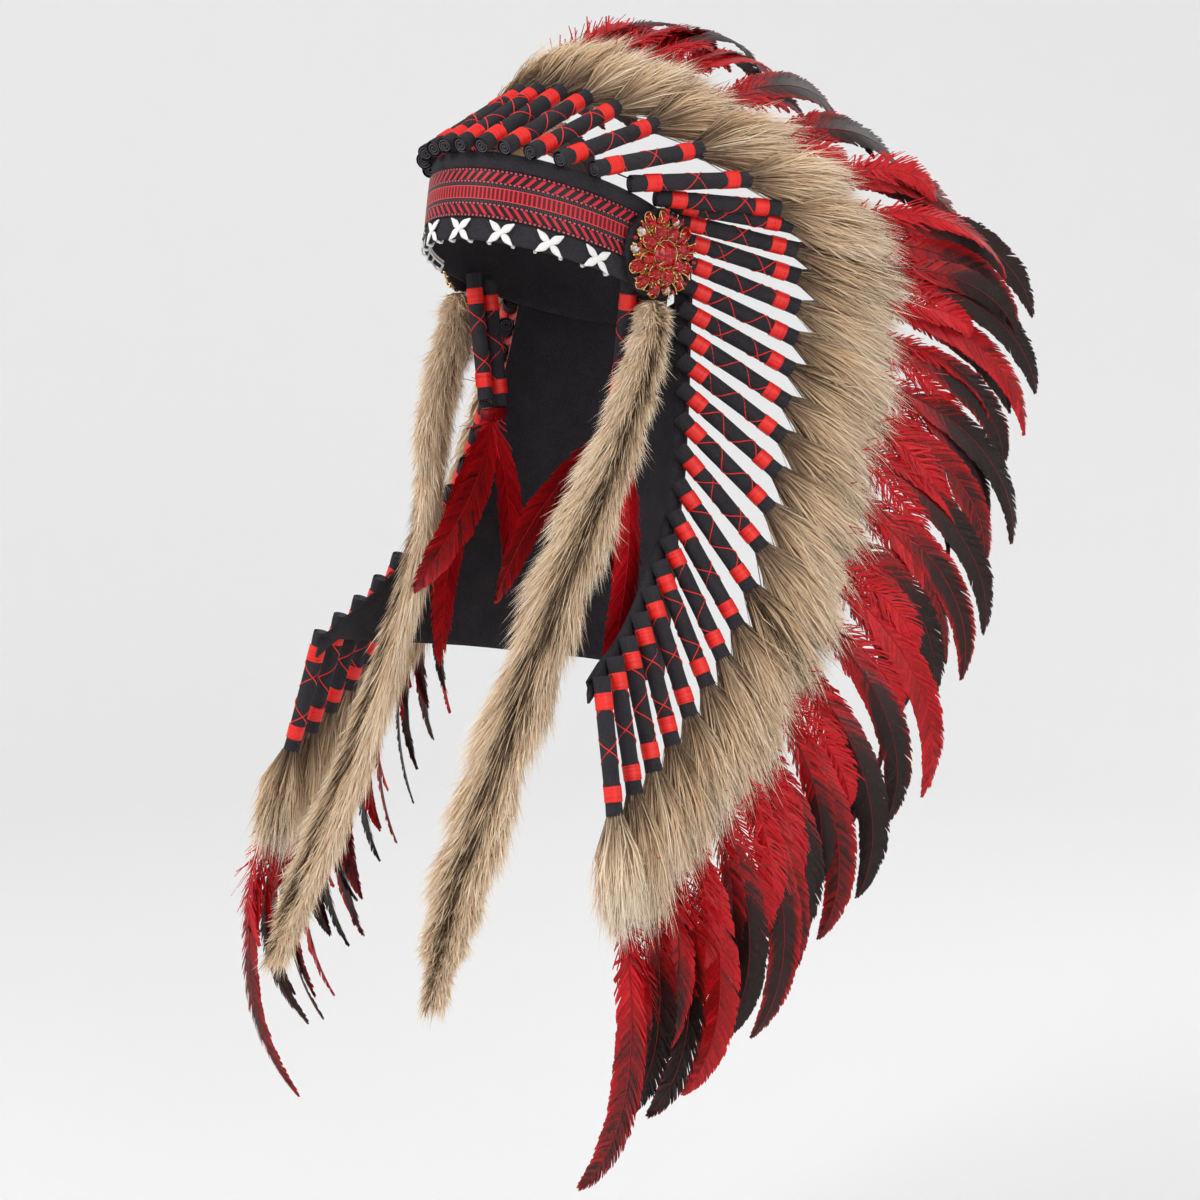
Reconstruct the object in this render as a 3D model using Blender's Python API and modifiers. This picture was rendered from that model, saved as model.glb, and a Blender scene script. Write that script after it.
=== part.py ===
"""A feathered headdress: a felt band with ribbon and brooches, and a trail edged with plumed quills.

Metres, +Z up. The wearer faces -Y, so +X is the wearer's left. The origin is the middle of the
band's lower edge, where a head carries it.
"""

import math
from collections import namedtuple

import bmesh
import bpy
from mathutils import Matrix, Vector

CLEARANCE = 0.0003  # between pieces that rest on each other

# The felt band
BAND_HALF_WIDTH = 0.088
BAND_HALF_DEPTH = 0.100
BAND_HEIGHT = 0.065
BAND_WALL = 0.003
BAND_TILT = math.radians(20)  # the front edge stands higher than the back
BAND_LEAN = math.radians(10)  # the wall slopes back like a forehead
BAND_SIDES = 40

# The woven ribbon round the front of the band
RIBBON_WIDTH = 0.036
RIBBON_THICKNESS = 0.001
RIBBON_ABOVE_EDGE = 0.016
RIBBON_END = math.radians(92)
RIBBON_STEPS = 22

# The white lacing over the band's lower edge
LACE_STEP = math.radians(22)
LACE_PAIRS = 3
LACE_HALF_WIDTH = 0.0095
LACE_WAIST = 0.003
LACE_HEIGHT = 0.013
LACE_THICKNESS = 0.0012
LACE_HOOK_SHARE = 0.8  # of the cross's half width
LACE_RUN_HEIGHT = 0.006
LACE_RUN_STEPS = 12
LACE_UNDER = 0.0007  # below the edge, whose corners the lean raises and lowers

# The brooches at the temples and the felt rounds behind them
BROOCH_AT = math.radians(97)
BROOCH_FACING = math.radians(80)
BROOCH_HEIGHT_ON_BAND = 0.029
BROOCH_RADIUS = 0.0315
BROOCH_PLATE = 0.004
BROOCH_FACE = 0.86  # share of the radius, inside the plate's bevel
BROOCH_STONES = 8
STONE_SIDES = 8
STONE_TABLE = 0.55  # share of the girdle's radius
STONE_SUNK = 0.001
STONE_RADIUS = 0.0068
STONE_HEIGHT = 0.0055
MAIN_STONE_RADIUS = 0.0125
MAIN_STONE_HEIGHT = 0.009
PAD_RADIUS = 0.0335
PAD_THICKNESS = 0.002
PAD_SIDES = 16
PAD_SAMPLES = 16

# The quills: rolled felt rods, laced together side by side
QUILL_DIAMETER = 0.0128
QUILL_LENGTH = 0.100
QUILL_GAP = 0.0005
QUILL_SIDES = 8
QUILL_LEAD = 0.0095  # how far the front quills stand ahead of the band
QUILL_SIDE_LEAD = 0.0045
GROUPS_A_SIDE = 9
LACING = 0.0016  # the thread through the quills
LACING_AT = 0.018
LACING_SIDES = 3

# The line of the quills' inner ends, round the band and down the trail's edge
TRAIL_DROP = 0.272
TRAIL_HALF_SPREAD = 0.140
TRAIL_REACH = 0.110

# round: degrees from the front of the band. drop, flare, ahead: shares of the way from the band
# down, out and forward to the last quill. spacing: between quills, in quill widths.
# out, back, up: where the quill points.
RimRow = namedtuple("RimRow", "round drop flare ahead spacing out back up")
RIM_ROWS = (
    RimRow(0, 0, 0, 0, 1.28, 0.00, 0.90, 0.42),
    RimRow(33, 0, 0, 0, 1.25, 0.06, 0.92, 0.34),
    RimRow(60, 0, 0, 0, 1.05, 0.28, 0.94, 0.15),
    RimRow(82, 0, 0, 0, 1.04, 0.48, 0.87, 0.00),
    RimRow(100, 0, 0, 0, 1.06, 0.59, 0.79, -0.15),
    RimRow(117, 0.09, 0.01, 0, 1.15, 0.62, 0.70, -0.34),
    RimRow(117, 0.27, 0.08, 0.03, 1.25, 0.62, 0.57, -0.54),
    RimRow(117, 0.47, 0.25, 0.11, 1.28, 0.58, 0.39, -0.70),
    RimRow(117, 0.66, 0.47, 0.24, 1.28, 0.51, 0.18, -0.83),
    RimRow(117, 0.81, 0.70, 0.50, 1.30, 0.41, 0.02, -0.91),
    RimRow(117, 0.92, 0.87, 0.74, 1.32, 0.32, -0.07, -0.95),
    RimRow(117, 1, 1, 1, 1.32, 0.23, -0.14, -0.96),
)
RIM_SAMPLES = 900
RIM_CORNERS = 180
BAND_ROWS = 4  # the rows of the table that lie on the band, past the first

# The trail: a felt panel that hangs from the band's back half
TRAIL_WALL = 0.0025
TRAIL_LENGTH = 0.310
TRAIL_BACK_END = 0.085
TRAIL_LAP_ON_BAND = 0.012
TRAIL_UNDER_QUILL = 0.012
TRAIL_INSIDE_RIM = 0.0036
TRAIL_STARTS_AT = 0.17  # share of the rim's drop
TRAIL_HEM = 0.010
TRAIL_LEVELS = 15
TRAIL_ACROSS = 6

# The plumes: a fur tuft on each quill, and a long curled feather out of each tuft
TUFT_LENGTH = 0.088
TUFT_THICKNESS = 0.034
PLUME_SIDES = 6
TUFT_COVER = 1.14  # how far a tuft reaches towards its neighbour in the same group
TUFT_FALL_SHORT = 0.94  # and towards the next group
TUFT_SQUARE_TO = 0.5  # share of the length by which its sections lean into the row
# along, reach and thick: shares of the tuft's length, half pitch and half thickness
TuftRing = namedtuple("TuftRing", "along reach thick")
TUFT_RINGS = (
    TuftRing(0, 0.42, 0.50),
    TuftRing(0.2, 0.85, 0.90),
    TuftRing(0.55, 1, 1),
    TuftRing(0.86, 0.66, 0.46),
)
VANE_WIDTH = 0.030
VANE_THICKNESS = 0.0026
VANE_LENGTH_TOP = 0.235
VANE_LENGTH_BOTTOM = 0.285
VANE_CURL = math.radians(66)
VANE_SHINGLE = math.radians(30)  # turns each feather so that it laps the next
# along and width: shares of the feather's length past the tuft, and of its width
VaneRing = namedtuple("VaneRing", "along width")
VANE_RINGS = (
    VaneRing(0, 0.42),
    VaneRing(0.42, 1),
    VaneRing(0.78, 0.74),
)
# length and curl: how one feather differs from the next, in turn
VaneKind = namedtuple("VaneKind", "length curl")
VANE_KINDS = (
    VaneKind(1, 1),
    VaneKind(0.92, 1.02),
    VaneKind(1.06, 1),
    VaneKind(0.96, 1.03),
    VaneKind(1.02, 0.98),
)
VANE_STEPS = 24
VANE_CURL_POWER = 1.5
VANE_INWARD = 0.35  # how much the curl turns inward for each part that it turns down
VANE_TURNED_BY = 0.25  # share of the row from the front by which the feathers are turned so

# The fur strips over the chest
STRIP_DROP = 0.478
STRIP_REACH = 0.225
STRIP_OUT = 0.096
STRIP_IN = 0.068
STRIP_WIDTH = 0.050
STRIP_THICKNESS = 0.018
STRIP_SIDES = 6
STRIP_SECTIONS = 18
STRIP_LOCK = 0.16  # how far each lock stands proud, as a share of the width
STRIP_NOTCH = 0.064  # how far the fur falls back between two locks
STRIP_THIN_END = 0.35  # thickness left where the width runs out
STRIP_AHEAD = 0.012  # of the brooch's middle
STRIP_SEARCH = 0.01
# down, inward and ahead: shares of the drop, of the way from STRIP_OUT to STRIP_IN, and of the reach.
# width: share of the full width. facing: degrees from the front that the fur's face is turned to.
StripRow = namedtuple("StripRow", "down inward ahead width facing")
STRIP_ROWS = (
    StripRow(0, 0.0, -0.01, 0.30, 90),
    StripRow(0.06, -0.02, 0.0, 0.80, 90),
    StripRow(0.2, 0.12, 0.13, 1.0, 80),
    StripRow(0.4, 0.75, 0.30, 1.0, 45),
    StripRow(0.68, 1.0, 0.62, 1.05, 25),
    StripRow(0.9, 0.8, 0.90, 0.9, 15),
    StripRow(1, 0.66, 1.0, 0.25, 15),
)

# The wrapped quills and red feathers that hang under each temple
DROP_QUILLS_Y = (0.004, 0.0205)
DROP_TUCK = 0.008  # how far the rods reach up inside the band
DROP_LEAN = math.radians(7)
DROP_BINDING_HEIGHT = 0.010
DROP_BINDING_HALF = Vector((0.006, 0.0145))
DROP_VANE_WIDTH = 0.032
DROP_VANE_FALL = 0.200
# outward, ahead and down: where each feather's tip lies from the binding, and its sideways bow, as
# shares of the longest feather's fall
DropVane = namedtuple("DropVane", "outward ahead down bow")
DROP_VANES = (
    DropVane(-0.04, -0.05, 0.68, 0.03),
    DropVane(-0.12, 0.62, 0.62, 0.08),
    DropVane(0.09, 0.23, 1.00, -0.07),
)

Quill = namedtuple("Quill", "base along across face number")


def clear_scene():
    for obj in list(bpy.data.objects):
        bpy.data.objects.remove(obj, do_unlink=True)


def new_collection(name):
    collection = bpy.data.collections.new(name)
    bpy.context.scene.collection.children.link(collection)
    return collection


def linear(channel):
    return channel / 12.92 if channel <= 0.04045 else ((channel + 0.055) / 1.055) ** 2.4


def principled(name, colour, roughness, metallic=0.0):
    """A plain material from an sRGB colour written as six hex digits."""
    material = bpy.data.materials.new(name)
    material.use_nodes = True
    shader = material.node_tree.nodes["Principled BSDF"]
    channels = [linear(int(colour[i : i + 2], 16) / 255) for i in (0, 2, 4)]
    shader.inputs["Base Color"].default_value = (*channels, 1)
    shader.inputs["Roughness"].default_value = roughness
    shader.inputs["Metallic"].default_value = metallic
    return material


def add_object(name, bm, collection, material=None):
    """Turns a bmesh into an object and frees the bmesh."""
    bmesh.ops.recalc_face_normals(bm, faces=bm.faces)
    mesh = bpy.data.meshes.new(name)
    bm.to_mesh(mesh)
    bm.free()
    if material:
        mesh.materials.append(material)
    obj = bpy.data.objects.new(name, mesh)
    collection.objects.link(obj)
    return obj


def loft(rings):
    """A closed bmesh through rings of points. A ring of one point is a tip."""
    bm = bmesh.new()
    rows = [[bm.verts.new(point) for point in ring] for ring in rings]
    for row, after in zip(rows, rows[1:]):
        count = len(row)
        for i in range(count):
            j = (i + 1) % count
            if len(after) == 1:
                bm.faces.new((row[i], row[j], after[0]))
            else:
                bm.faces.new((row[i], row[j], after[j], after[i]))
    for row in (rows[0], rows[-1]):
        if len(row) > 1:
            bm.faces.new(row)
    bmesh.ops.triangulate(bm, faces=bm.faces)
    return bm


def prism(start, end, radius, sides, end_radius=None):
    """A closed bmesh of a rod from start to end."""
    bm = bmesh.new()
    axis = end - start
    turn = axis.to_track_quat("Z", "Y").to_matrix().to_4x4()
    bmesh.ops.create_cone(
        bm,
        cap_ends=True,
        segments=sides,
        radius1=radius,
        radius2=radius if end_radius is None else end_radius,
        depth=axis.length,
        matrix=Matrix.Translation((start + end) / 2) @ turn,
    )
    return bm


def solidify(obj, thickness):
    modifier = obj.modifiers.new("wall", "SOLIDIFY")
    modifier.thickness = thickness
    modifier.offset = 0
    modifier.use_even_offset = True
    modifier.use_quality_normals = True


def fuse(obj, pieces):
    """Joins pieces to obj with one Boolean union each."""
    for number, piece in enumerate(pieces, 1):
        piece.hide_render = True
        piece.display_type = "WIRE"
        modifier = obj.modifiers.new(f"join_{number}", "BOOLEAN")
        modifier.operation = "UNION"
        modifier.solver = "EXACT"
        modifier.object = piece


def mirrored(vector):
    return Vector((-vector.x, vector.y, vector.z))


def to_side(vector, side):
    return vector if side > 0 else mirrored(vector)


def between(start, end, share):
    return start + (end - start) * share


def smooth(values, place):
    """A Catmull-Rom value at place, in steps of the list, whose first and last entries only guide it."""
    step = min(max(int(place), 0), len(values) - 4)
    t = place - step
    a, b, c, d = values[step : step + 4]
    return 0.5 * (
        2 * b + (c - a) * t + (2 * a - 5 * b + 4 * c - d) * t * t + (3 * b - a - 3 * c + d) * t**3
    )


def guided(rows):
    """Adds a straight guide before the first row and after the last."""
    return [2 * rows[0] - rows[1], *rows, 2 * rows[-1] - rows[-2]]


def band_point(angle, height, offset=0.0):
    """A point on the band's outer face, at an angle from the front and a height up the wall."""
    outward = Vector((math.sin(angle) / BAND_HALF_WIDTH, -math.cos(angle) / BAND_HALF_DEPTH, 0))
    outward.normalize()
    foot = Vector((BAND_HALF_WIDTH * math.sin(angle), -BAND_HALF_DEPTH * math.cos(angle), 0))
    foot += outward * offset
    foot.z = -foot.y * math.tan(BAND_TILT)
    rise = Vector((0, math.sin(BAND_LEAN), math.cos(BAND_LEAN)))
    return foot + rise * height


def above_rim(base, along):
    """How far a rod that starts at base stands above the band's upper rim."""
    seat = QUILL_DIAMETER / 2 + CLEARANCE
    up = Vector((0, 0, 1))
    rise = up - along * along.z
    found = []
    for i in range(RIM_CORNERS):
        for offset in (0, -BAND_WALL):
            corner = band_point(math.pi * i / RIM_CORNERS, BAND_HEIGHT, offset) - base
            reach = corner.dot(along)
            corner -= along * reach
            middle = corner.dot(rise)
            spare = middle**2 - rise.length_squared * (corner.length_squared - seat**2)
            if 0 < reach < QUILL_LENGTH and spare > 0:
                found.append((-middle - math.sqrt(spare)) / rise.length_squared)
    return min(found)


def rim_point(row):
    """Where a row of the rim table puts a quill's inner end."""
    angle = math.radians(row.round)
    radius = QUILL_DIAMETER / 2
    edge = band_point(angle, BAND_HEIGHT)
    edge.x += QUILL_SIDE_LEAD * math.sin(angle)
    edge.y -= QUILL_LEAD * math.cos(angle)
    edge.z += radius + CLEARANCE
    x = between(edge.x, TRAIL_HALF_SPREAD, row.flare)
    y = between(edge.y, -TRAIL_REACH, row.ahead)
    z = between(edge.z, -TRAIL_DROP, row.drop)
    return Vector((x, y, z))


class Rim:
    """The smooth line of the quills' inner ends on the wearer's left, from the front down to the last."""

    def __init__(self):
        points = [rim_point(row) for row in RIM_ROWS]
        points = [mirrored(points[1]), *points, 2 * points[-1] - points[-2]]
        aims = [Vector((row.out, row.back, row.up)).normalized() for row in RIM_ROWS]
        aims = [mirrored(aims[1]), *aims, 2 * aims[-1] - aims[-2]]
        spacings = [row.spacing for row in RIM_ROWS]
        spacings = [spacings[1], *spacings, spacings[-1]]
        self.last = len(RIM_ROWS) - 1
        self.points = points
        self.aims = aims
        self.spacings = spacings

    def at(self, place):
        """The frame at a place on the rim: point, quill direction, direction across, outer face."""
        step = self.last / RIM_SAMPLES
        point = smooth(self.points, place)
        along = smooth(self.aims, place).normalized()
        tangent = smooth(self.points, place + step) - smooth(self.points, place - step)
        across = (tangent - along * tangent.dot(along)).normalized()
        return point, along, across, across.cross(along).normalized()

    def stations(self):
        """Places one quill apart, measured square to the quills."""
        step = self.last / RIM_SAMPLES
        totals = [0.0]
        for i in range(RIM_SAMPLES):
            place = i * step
            move = smooth(self.points, place + step) - smooth(self.points, place)
            along = smooth(self.aims, place).normalized()
            pitch = (QUILL_DIAMETER + QUILL_GAP) * smooth(self.spacings, place)
            totals.append(totals[-1] + move.cross(along).length / pitch)
        count = int(totals[-1])
        places = []
        i = 0
        for number in range(count + 1):
            goal = totals[-1] * number / count
            while i < RIM_SAMPLES - 1 and totals[i + 1] < goal:
                i += 1
            share = (goal - totals[i]) / (totals[i + 1] - totals[i])
            places.append((i + min(share, 1)) * step)
        return places

    def quills(self):
        """The quills of the wearer's left, with the front centre one first."""
        found = []
        for number, place in enumerate(self.stations()):
            point, along, across, face = self.at(place)
            if number == 0:
                along = Vector((0, along.y, along.z)).normalized()
                across = Vector((1, 0, 0))
                face = across.cross(along)
            if place < BAND_ROWS:
                point = point - Vector((0, 0, above_rim(point, along)))
            found.append(Quill(point, along, across, face, number))
        return found


def on_end(before, quill):
    """A stand-in for the neighbour past the last quill."""
    base = 2 * quill.base - before.base
    return Quill(base, 2 * quill.along - before.along, quill.across, quill.face, quill.number + 1)


def on_side(quill, side):
    if side > 0:
        return quill
    vectors = (mirrored(v) for v in (quill.base, quill.along, quill.across, quill.face))
    return Quill(*vectors, quill.number)


def make_band(collection, material):
    """The open felt ring: a tube that is stretched to an ellipse, then sheared to its tilt and lean."""
    bm = bmesh.new()
    middle = BAND_WALL / 2
    bmesh.ops.create_cone(
        bm, cap_ends=False, segments=BAND_SIDES, radius1=1, radius2=1, depth=BAND_HEIGHT
    )
    stretch = Matrix.Diagonal((BAND_HALF_WIDTH - middle, BAND_HALF_DEPTH - middle, 1, 1))
    for vert in bm.verts:
        spot = stretch @ vert.co
        height = vert.co.z + BAND_HEIGHT / 2
        spot.z = height * math.cos(BAND_LEAN) - spot.y * math.tan(BAND_TILT)
        spot.y += height * math.sin(BAND_LEAN)
        vert.co = spot
    band = add_object("head_band", bm, collection, material)
    solidify(band, BAND_WALL)
    return band


def sheet(columns, rows, place):
    """A grid whose points go to place(u, v), with u and v from 0 to 1."""
    bm = bmesh.new()
    bmesh.ops.create_grid(bm, x_segments=columns, y_segments=rows, size=0.5)
    for vert in bm.verts:
        vert.co = place(vert.co.x + 0.5, vert.co.y + 0.5)
    return bm


def make_ribbon(collection, material):
    offset = CLEARANCE + RIBBON_THICKNESS / 2

    def place(u, v):
        angle = between(-RIBBON_END, RIBBON_END, u)
        return band_point(angle, RIBBON_ABOVE_EDGE + RIBBON_WIDTH * v, offset)

    ribbon = add_object("ribbon_trim", sheet(RIBBON_STEPS, 1, place), collection, material)
    solidify(ribbon, RIBBON_THICKNESS)


def lace_cross(angle):
    """One pinched cross on the band's face, down to the strap under the edge."""
    foot = -LACE_UNDER - LACE_THICKNESS / 2
    turn = 1 / BAND_HALF_DEPTH
    outer = CLEARANCE + LACE_THICKNESS
    rings = []
    for side in range(-1, 2):
        ring = []
        for offset, run in ((CLEARANCE, 1), (outer, -1)):
            for v in (0, 0.5, 1)[::run]:
                width = between(LACE_WAIST, LACE_HALF_WIDTH, abs(2 * v - 1))
                spot = angle + side * width * turn
                ring.append(band_point(spot, between(foot, LACE_HEIGHT, v), offset))
        rings.append(ring)
    return loft(rings)


def lace_hook(angle):
    """The strap that joins a cross to the run inside the band, round the lower edge."""
    turn = LACE_HALF_WIDTH * LACE_HOOK_SHARE / BAND_HALF_DEPTH
    inside = -BAND_WALL - LACE_UNDER - LACE_THICKNESS * 0.9
    outside = CLEARANCE + LACE_THICKNESS / 2
    foot = -LACE_UNDER - LACE_THICKNESS
    corners = ((foot, inside), (foot, outside), (-LACE_UNDER, outside), (-LACE_UNDER, inside))
    return loft([[band_point(spot, *c) for c in corners] for spot in (angle - turn, angle + turn)])


def make_lace(collection, cutters, material):
    """The crosses, joined by one thin run of lace along the inside of the band."""
    reach = LACE_STEP * LACE_PAIRS + LACE_HALF_WIDTH / BAND_HALF_DEPTH
    offset = -BAND_WALL - LACE_UNDER - LACE_THICKNESS / 2
    low = -LACE_UNDER - LACE_THICKNESS / 2

    def place(u, v):
        return band_point(between(-reach, reach, u), between(low, LACE_RUN_HEIGHT, v), offset)

    lace = add_object("edge_lace", sheet(LACE_RUN_STEPS, 1, place), collection, material)
    solidify(lace, LACE_THICKNESS)
    pieces = []
    for number in range(-LACE_PAIRS, LACE_PAIRS + 1):
        angle = number * LACE_STEP
        pieces.append(add_object(f"lace_hook_{number}", lace_hook(angle), cutters))
        pieces.append(add_object(f"lace_cross_{number}", lace_cross(angle), cutters))
    fuse(lace, pieces)


def brooch_frame(side):
    """The middle of the pad's back on the band, and the directions out, across and up."""
    out = Vector((math.sin(BROOCH_FACING), -math.cos(BROOCH_FACING), 0))
    across = Vector((-out.y, out.x, 0))
    reach = PAD_RADIUS / BAND_HALF_DEPTH
    angles = [BROOCH_AT + reach * (2 * i / PAD_SAMPLES - 1) for i in range(PAD_SAMPLES + 1)]
    spots = [band_point(angle, 0) for angle in angles]
    thick = CLEARANCE + RIBBON_THICKNESS
    spots += [band_point(angle, RIBBON_ABOVE_EDGE, thick) for angle in angles if angle < RIBBON_END]
    highest = max(spot.dot(out) for spot in spots)
    middle = band_point(BROOCH_AT, BROOCH_HEIGHT_ON_BAND)
    middle += out * (highest + CLEARANCE - middle.dot(out))
    return to_side(middle, side), to_side(out, side), to_side(across, side), Vector((0, 0, 1))


def make_pad(name, side, collection, material):
    middle, out, _, _ = brooch_frame(side)
    bm = prism(middle, middle + out * PAD_THICKNESS, PAD_RADIUS, PAD_SIDES)
    add_object(name, bm, collection, material)


def cut_stone(foot, out, radius, height):
    """A stone set to its girdle, with a bevelled crown and a flat table."""
    return prism(foot, foot + out * height, radius, STONE_SIDES, radius * STONE_TABLE)


def make_brooch(name, side, collection, cutters, material):
    """A shallow dished plate set with a main stone and a ring of smaller ones, all one casting."""
    middle, out, across, up = brooch_frame(side)
    back = middle + out * (PAD_THICKNESS + CLEARANCE)
    face = back + out * BROOCH_PLATE
    plate = prism(back, face, BROOCH_RADIUS, PAD_SIDES, BROOCH_RADIUS * BROOCH_FACE)
    brooch = add_object(name, plate, collection, material)
    setting = face - out * STONE_SUNK
    pieces = [cut_stone(setting, out, MAIN_STONE_RADIUS, MAIN_STONE_HEIGHT + STONE_SUNK)]
    ring_radius = BROOCH_RADIUS * BROOCH_FACE - STONE_RADIUS - CLEARANCE
    for i in range(BROOCH_STONES):
        angle = math.tau * (i + 0.5) / BROOCH_STONES
        spot = setting + (across * math.cos(angle) + up * math.sin(angle)) * ring_radius
        pieces.append(cut_stone(spot, out, STONE_RADIUS, STONE_HEIGHT + STONE_SUNK))
    fuse(brooch, [add_object(f"{name}_stone_{i}", bm, cutters) for i, bm in enumerate(pieces)])


def make_trail(rim, collection, material):
    """The panel: each level runs from one quilled edge, behind the neck, to the other."""
    seat = QUILL_DIAMETER / 2 + CLEARANCE + TRAIL_WALL / 2
    back_top = band_point(math.pi, TRAIL_LAP_ON_BAND, CLEARANCE * 2 + TRAIL_WALL / 2)
    drops = [row.drop for row in RIM_ROWS]
    first = next(i for i, drop in enumerate(drops) if drop > TRAIL_STARTS_AT)
    start = first - (drops[first] - TRAIL_STARTS_AT) / (drops[first] - drops[first - 1])
    hem = TRAIL_HEM / (rim.at(rim.last)[0] - rim.at(rim.last - 1)[0]).length

    def edge(level):
        point, along, _, face = rim.at(between(start, rim.last + hem, level))
        return point - face * seat, along

    def place(u, v):
        level = 1 - v
        side = 1 if u > 0.5 else -1
        point, along = edge(level)
        turn = round(abs(u - 0.5) * 2 * TRAIL_ACROSS)
        inner = point - along * TRAIL_INSIDE_RIM
        if turn == TRAIL_ACROSS:
            return to_side(point + along * TRAIL_UNDER_QUILL, side)
        if turn == TRAIL_ACROSS - 1:
            return to_side(inner, side)
        angle = math.pi / 2 * turn / (TRAIL_ACROSS - 1)
        back_y = between(back_top.y, TRAIL_BACK_END, level)
        back_z = between(back_top.z, -TRAIL_LENGTH, level)
        x = inner.x * math.sin(angle)
        y = between(inner.y, back_y, math.cos(angle))
        z = between(inner.z, back_z, math.cos(angle))
        return to_side(Vector((x, y, z)), side)

    trail = add_object("trail", sheet(2 * TRAIL_ACROSS, TRAIL_LEVELS, place), collection, material)
    solidify(trail, TRAIL_WALL)


def quill_rod(quill):
    return prism(quill.base, quill.base + quill.along * QUILL_LENGTH, QUILL_DIAMETER / 2, QUILL_SIDES)


def make_quills(name, group, collection, cutters, material):
    """The rods of one group, held side by side by the lacing thread through them."""
    rods = [add_object(name, quill_rod(group[0]), collection, material)]
    for quill in group[1:]:
        rods.append(add_object(f"{name}_rod_{quill.number}", quill_rod(quill), cutters))
    threads = []
    for quill, after in zip(group, group[1:]):
        start = quill.base + quill.along * LACING_AT
        end = after.base + after.along * LACING_AT
        threads.append(
            add_object(f"{name}_thread_{quill.number}", prism(start, end, LACING / 2, LACING_SIDES), cutters)
        )
    fuse(rods[0], [piece for pair in zip(threads, rods[1:]) for piece in pair])


def half_way(quill, other, reach, share):
    """From this quill's line half way to the other's, square to the quill at the tuft's root."""
    way = (other.base + other.along * reach - quill.base - quill.along * reach) / 2
    back = quill.along * way.dot(quill.along)
    return way - back * max(0, 1 - share / TUFT_SQUARE_TO)


def tuft_rings(quill, before, after, cover_before, cover_after):
    """The outer form of one fur tuft: six-sided rings that reach half way to each neighbour."""
    rings = []
    for row in TUFT_RINGS:
        reach = QUILL_LENGTH + CLEARANCE + TUFT_LENGTH * row.along
        middle = quill.base + quill.along * reach
        to_before = half_way(quill, before, reach, row.along) * row.reach * cover_before
        to_after = half_way(quill, after, reach, row.along) * row.reach * cover_after
        square = (to_after - to_before).cross(quill.along).normalized()
        square *= 1 if square.dot(quill.face) > 0 else -1
        thick = square * (TUFT_THICKNESS / 2 * row.thick)
        ring = []
        for i in range(PLUME_SIDES):
            angle = math.tau * i / PLUME_SIDES
            wide = to_after if math.cos(angle) > 0 else -to_before
            ring.append(middle + wide * math.cos(angle) + thick * math.sin(angle))
        rings.append(ring)
    return rings


def vane_rings(quill, side, share):
    """One long feather past its tuft: flat six-sided rings on a curve that bends down and inward."""
    kind = VANE_KINDS[quill.number % len(VANE_KINDS)]
    length = between(VANE_LENGTH_TOP, VANE_LENGTH_BOTTOM, share) * kind.length
    turned = min(1, share / VANE_TURNED_BY)
    pull = Vector((-VANE_INWARD * side * turned, 0, -1))
    bend = (pull - quill.along * pull.dot(quill.along)).normalized()
    turn = 1 if bend.dot(quill.across) > 0 else -1
    spot = quill.base + quill.along * (QUILL_LENGTH + TUFT_LENGTH)
    run = (length - TUFT_LENGTH) / VANE_STEPS
    shingle = VANE_SHINGLE if quill.number else 0
    stations = [round(row.along * VANE_STEPS) for row in VANE_RINGS]
    rings = []
    for step in range(VANE_STEPS + 1):
        part = step / VANE_STEPS
        angle = VANE_CURL * kind.curl * part**VANE_CURL_POWER
        along = quill.along * math.cos(angle) + bend * math.sin(angle)
        leaf = (quill.across - along * along.dot(quill.across)).normalized()
        sickle = (bend * math.cos(angle) - quill.along * math.sin(angle)) * turn
        wide = between(leaf, sickle, turned).normalized()
        flat = wide.cross(along)
        flat *= 1 if flat.dot(quill.face) > 0 else -1
        tilt, rise = math.cos(shingle), math.sin(shingle)
        wide, flat = wide * tilt + flat * rise, flat * tilt - wide * rise
        if step in stations:
            half = wide * (VANE_WIDTH / 2 * VANE_RINGS[stations.index(step)].width)
            thick = flat * (VANE_THICKNESS / 2)
            angles = [math.tau * i / PLUME_SIDES for i in range(PLUME_SIDES)]
            rings.append([spot + half * math.cos(a) + thick * math.sin(a) for a in angles])
        spot = spot + along * run
    rings.append([spot])
    return rings


def make_plumes(name, group, row, side, collection, cutters, material):
    """The tufts and feathers of one group, fused where the tufts meet."""
    plumes = []
    for quill in group:
        i = quill.number
        before = row[i - 1] if i > 0 else on_side(row[1], -1)
        after = row[i + 1] if i + 1 < len(row) else on_end(row[i - 1], quill)
        cover_before = TUFT_COVER if quill is not group[0] else TUFT_FALL_SHORT
        cover_after = TUFT_COVER if quill is not group[-1] else TUFT_FALL_SHORT
        rings = tuft_rings(quill, before, after, cover_before, cover_after)
        plumes.append(loft(rings + vane_rings(quill, side, i / (len(row) - 1))))
    base = add_object(name, plumes[0], collection, material)
    fuse(base, [add_object(f"{name}_plume_{i}", bm, cutters) for i, bm in enumerate(plumes[1:])])


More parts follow.
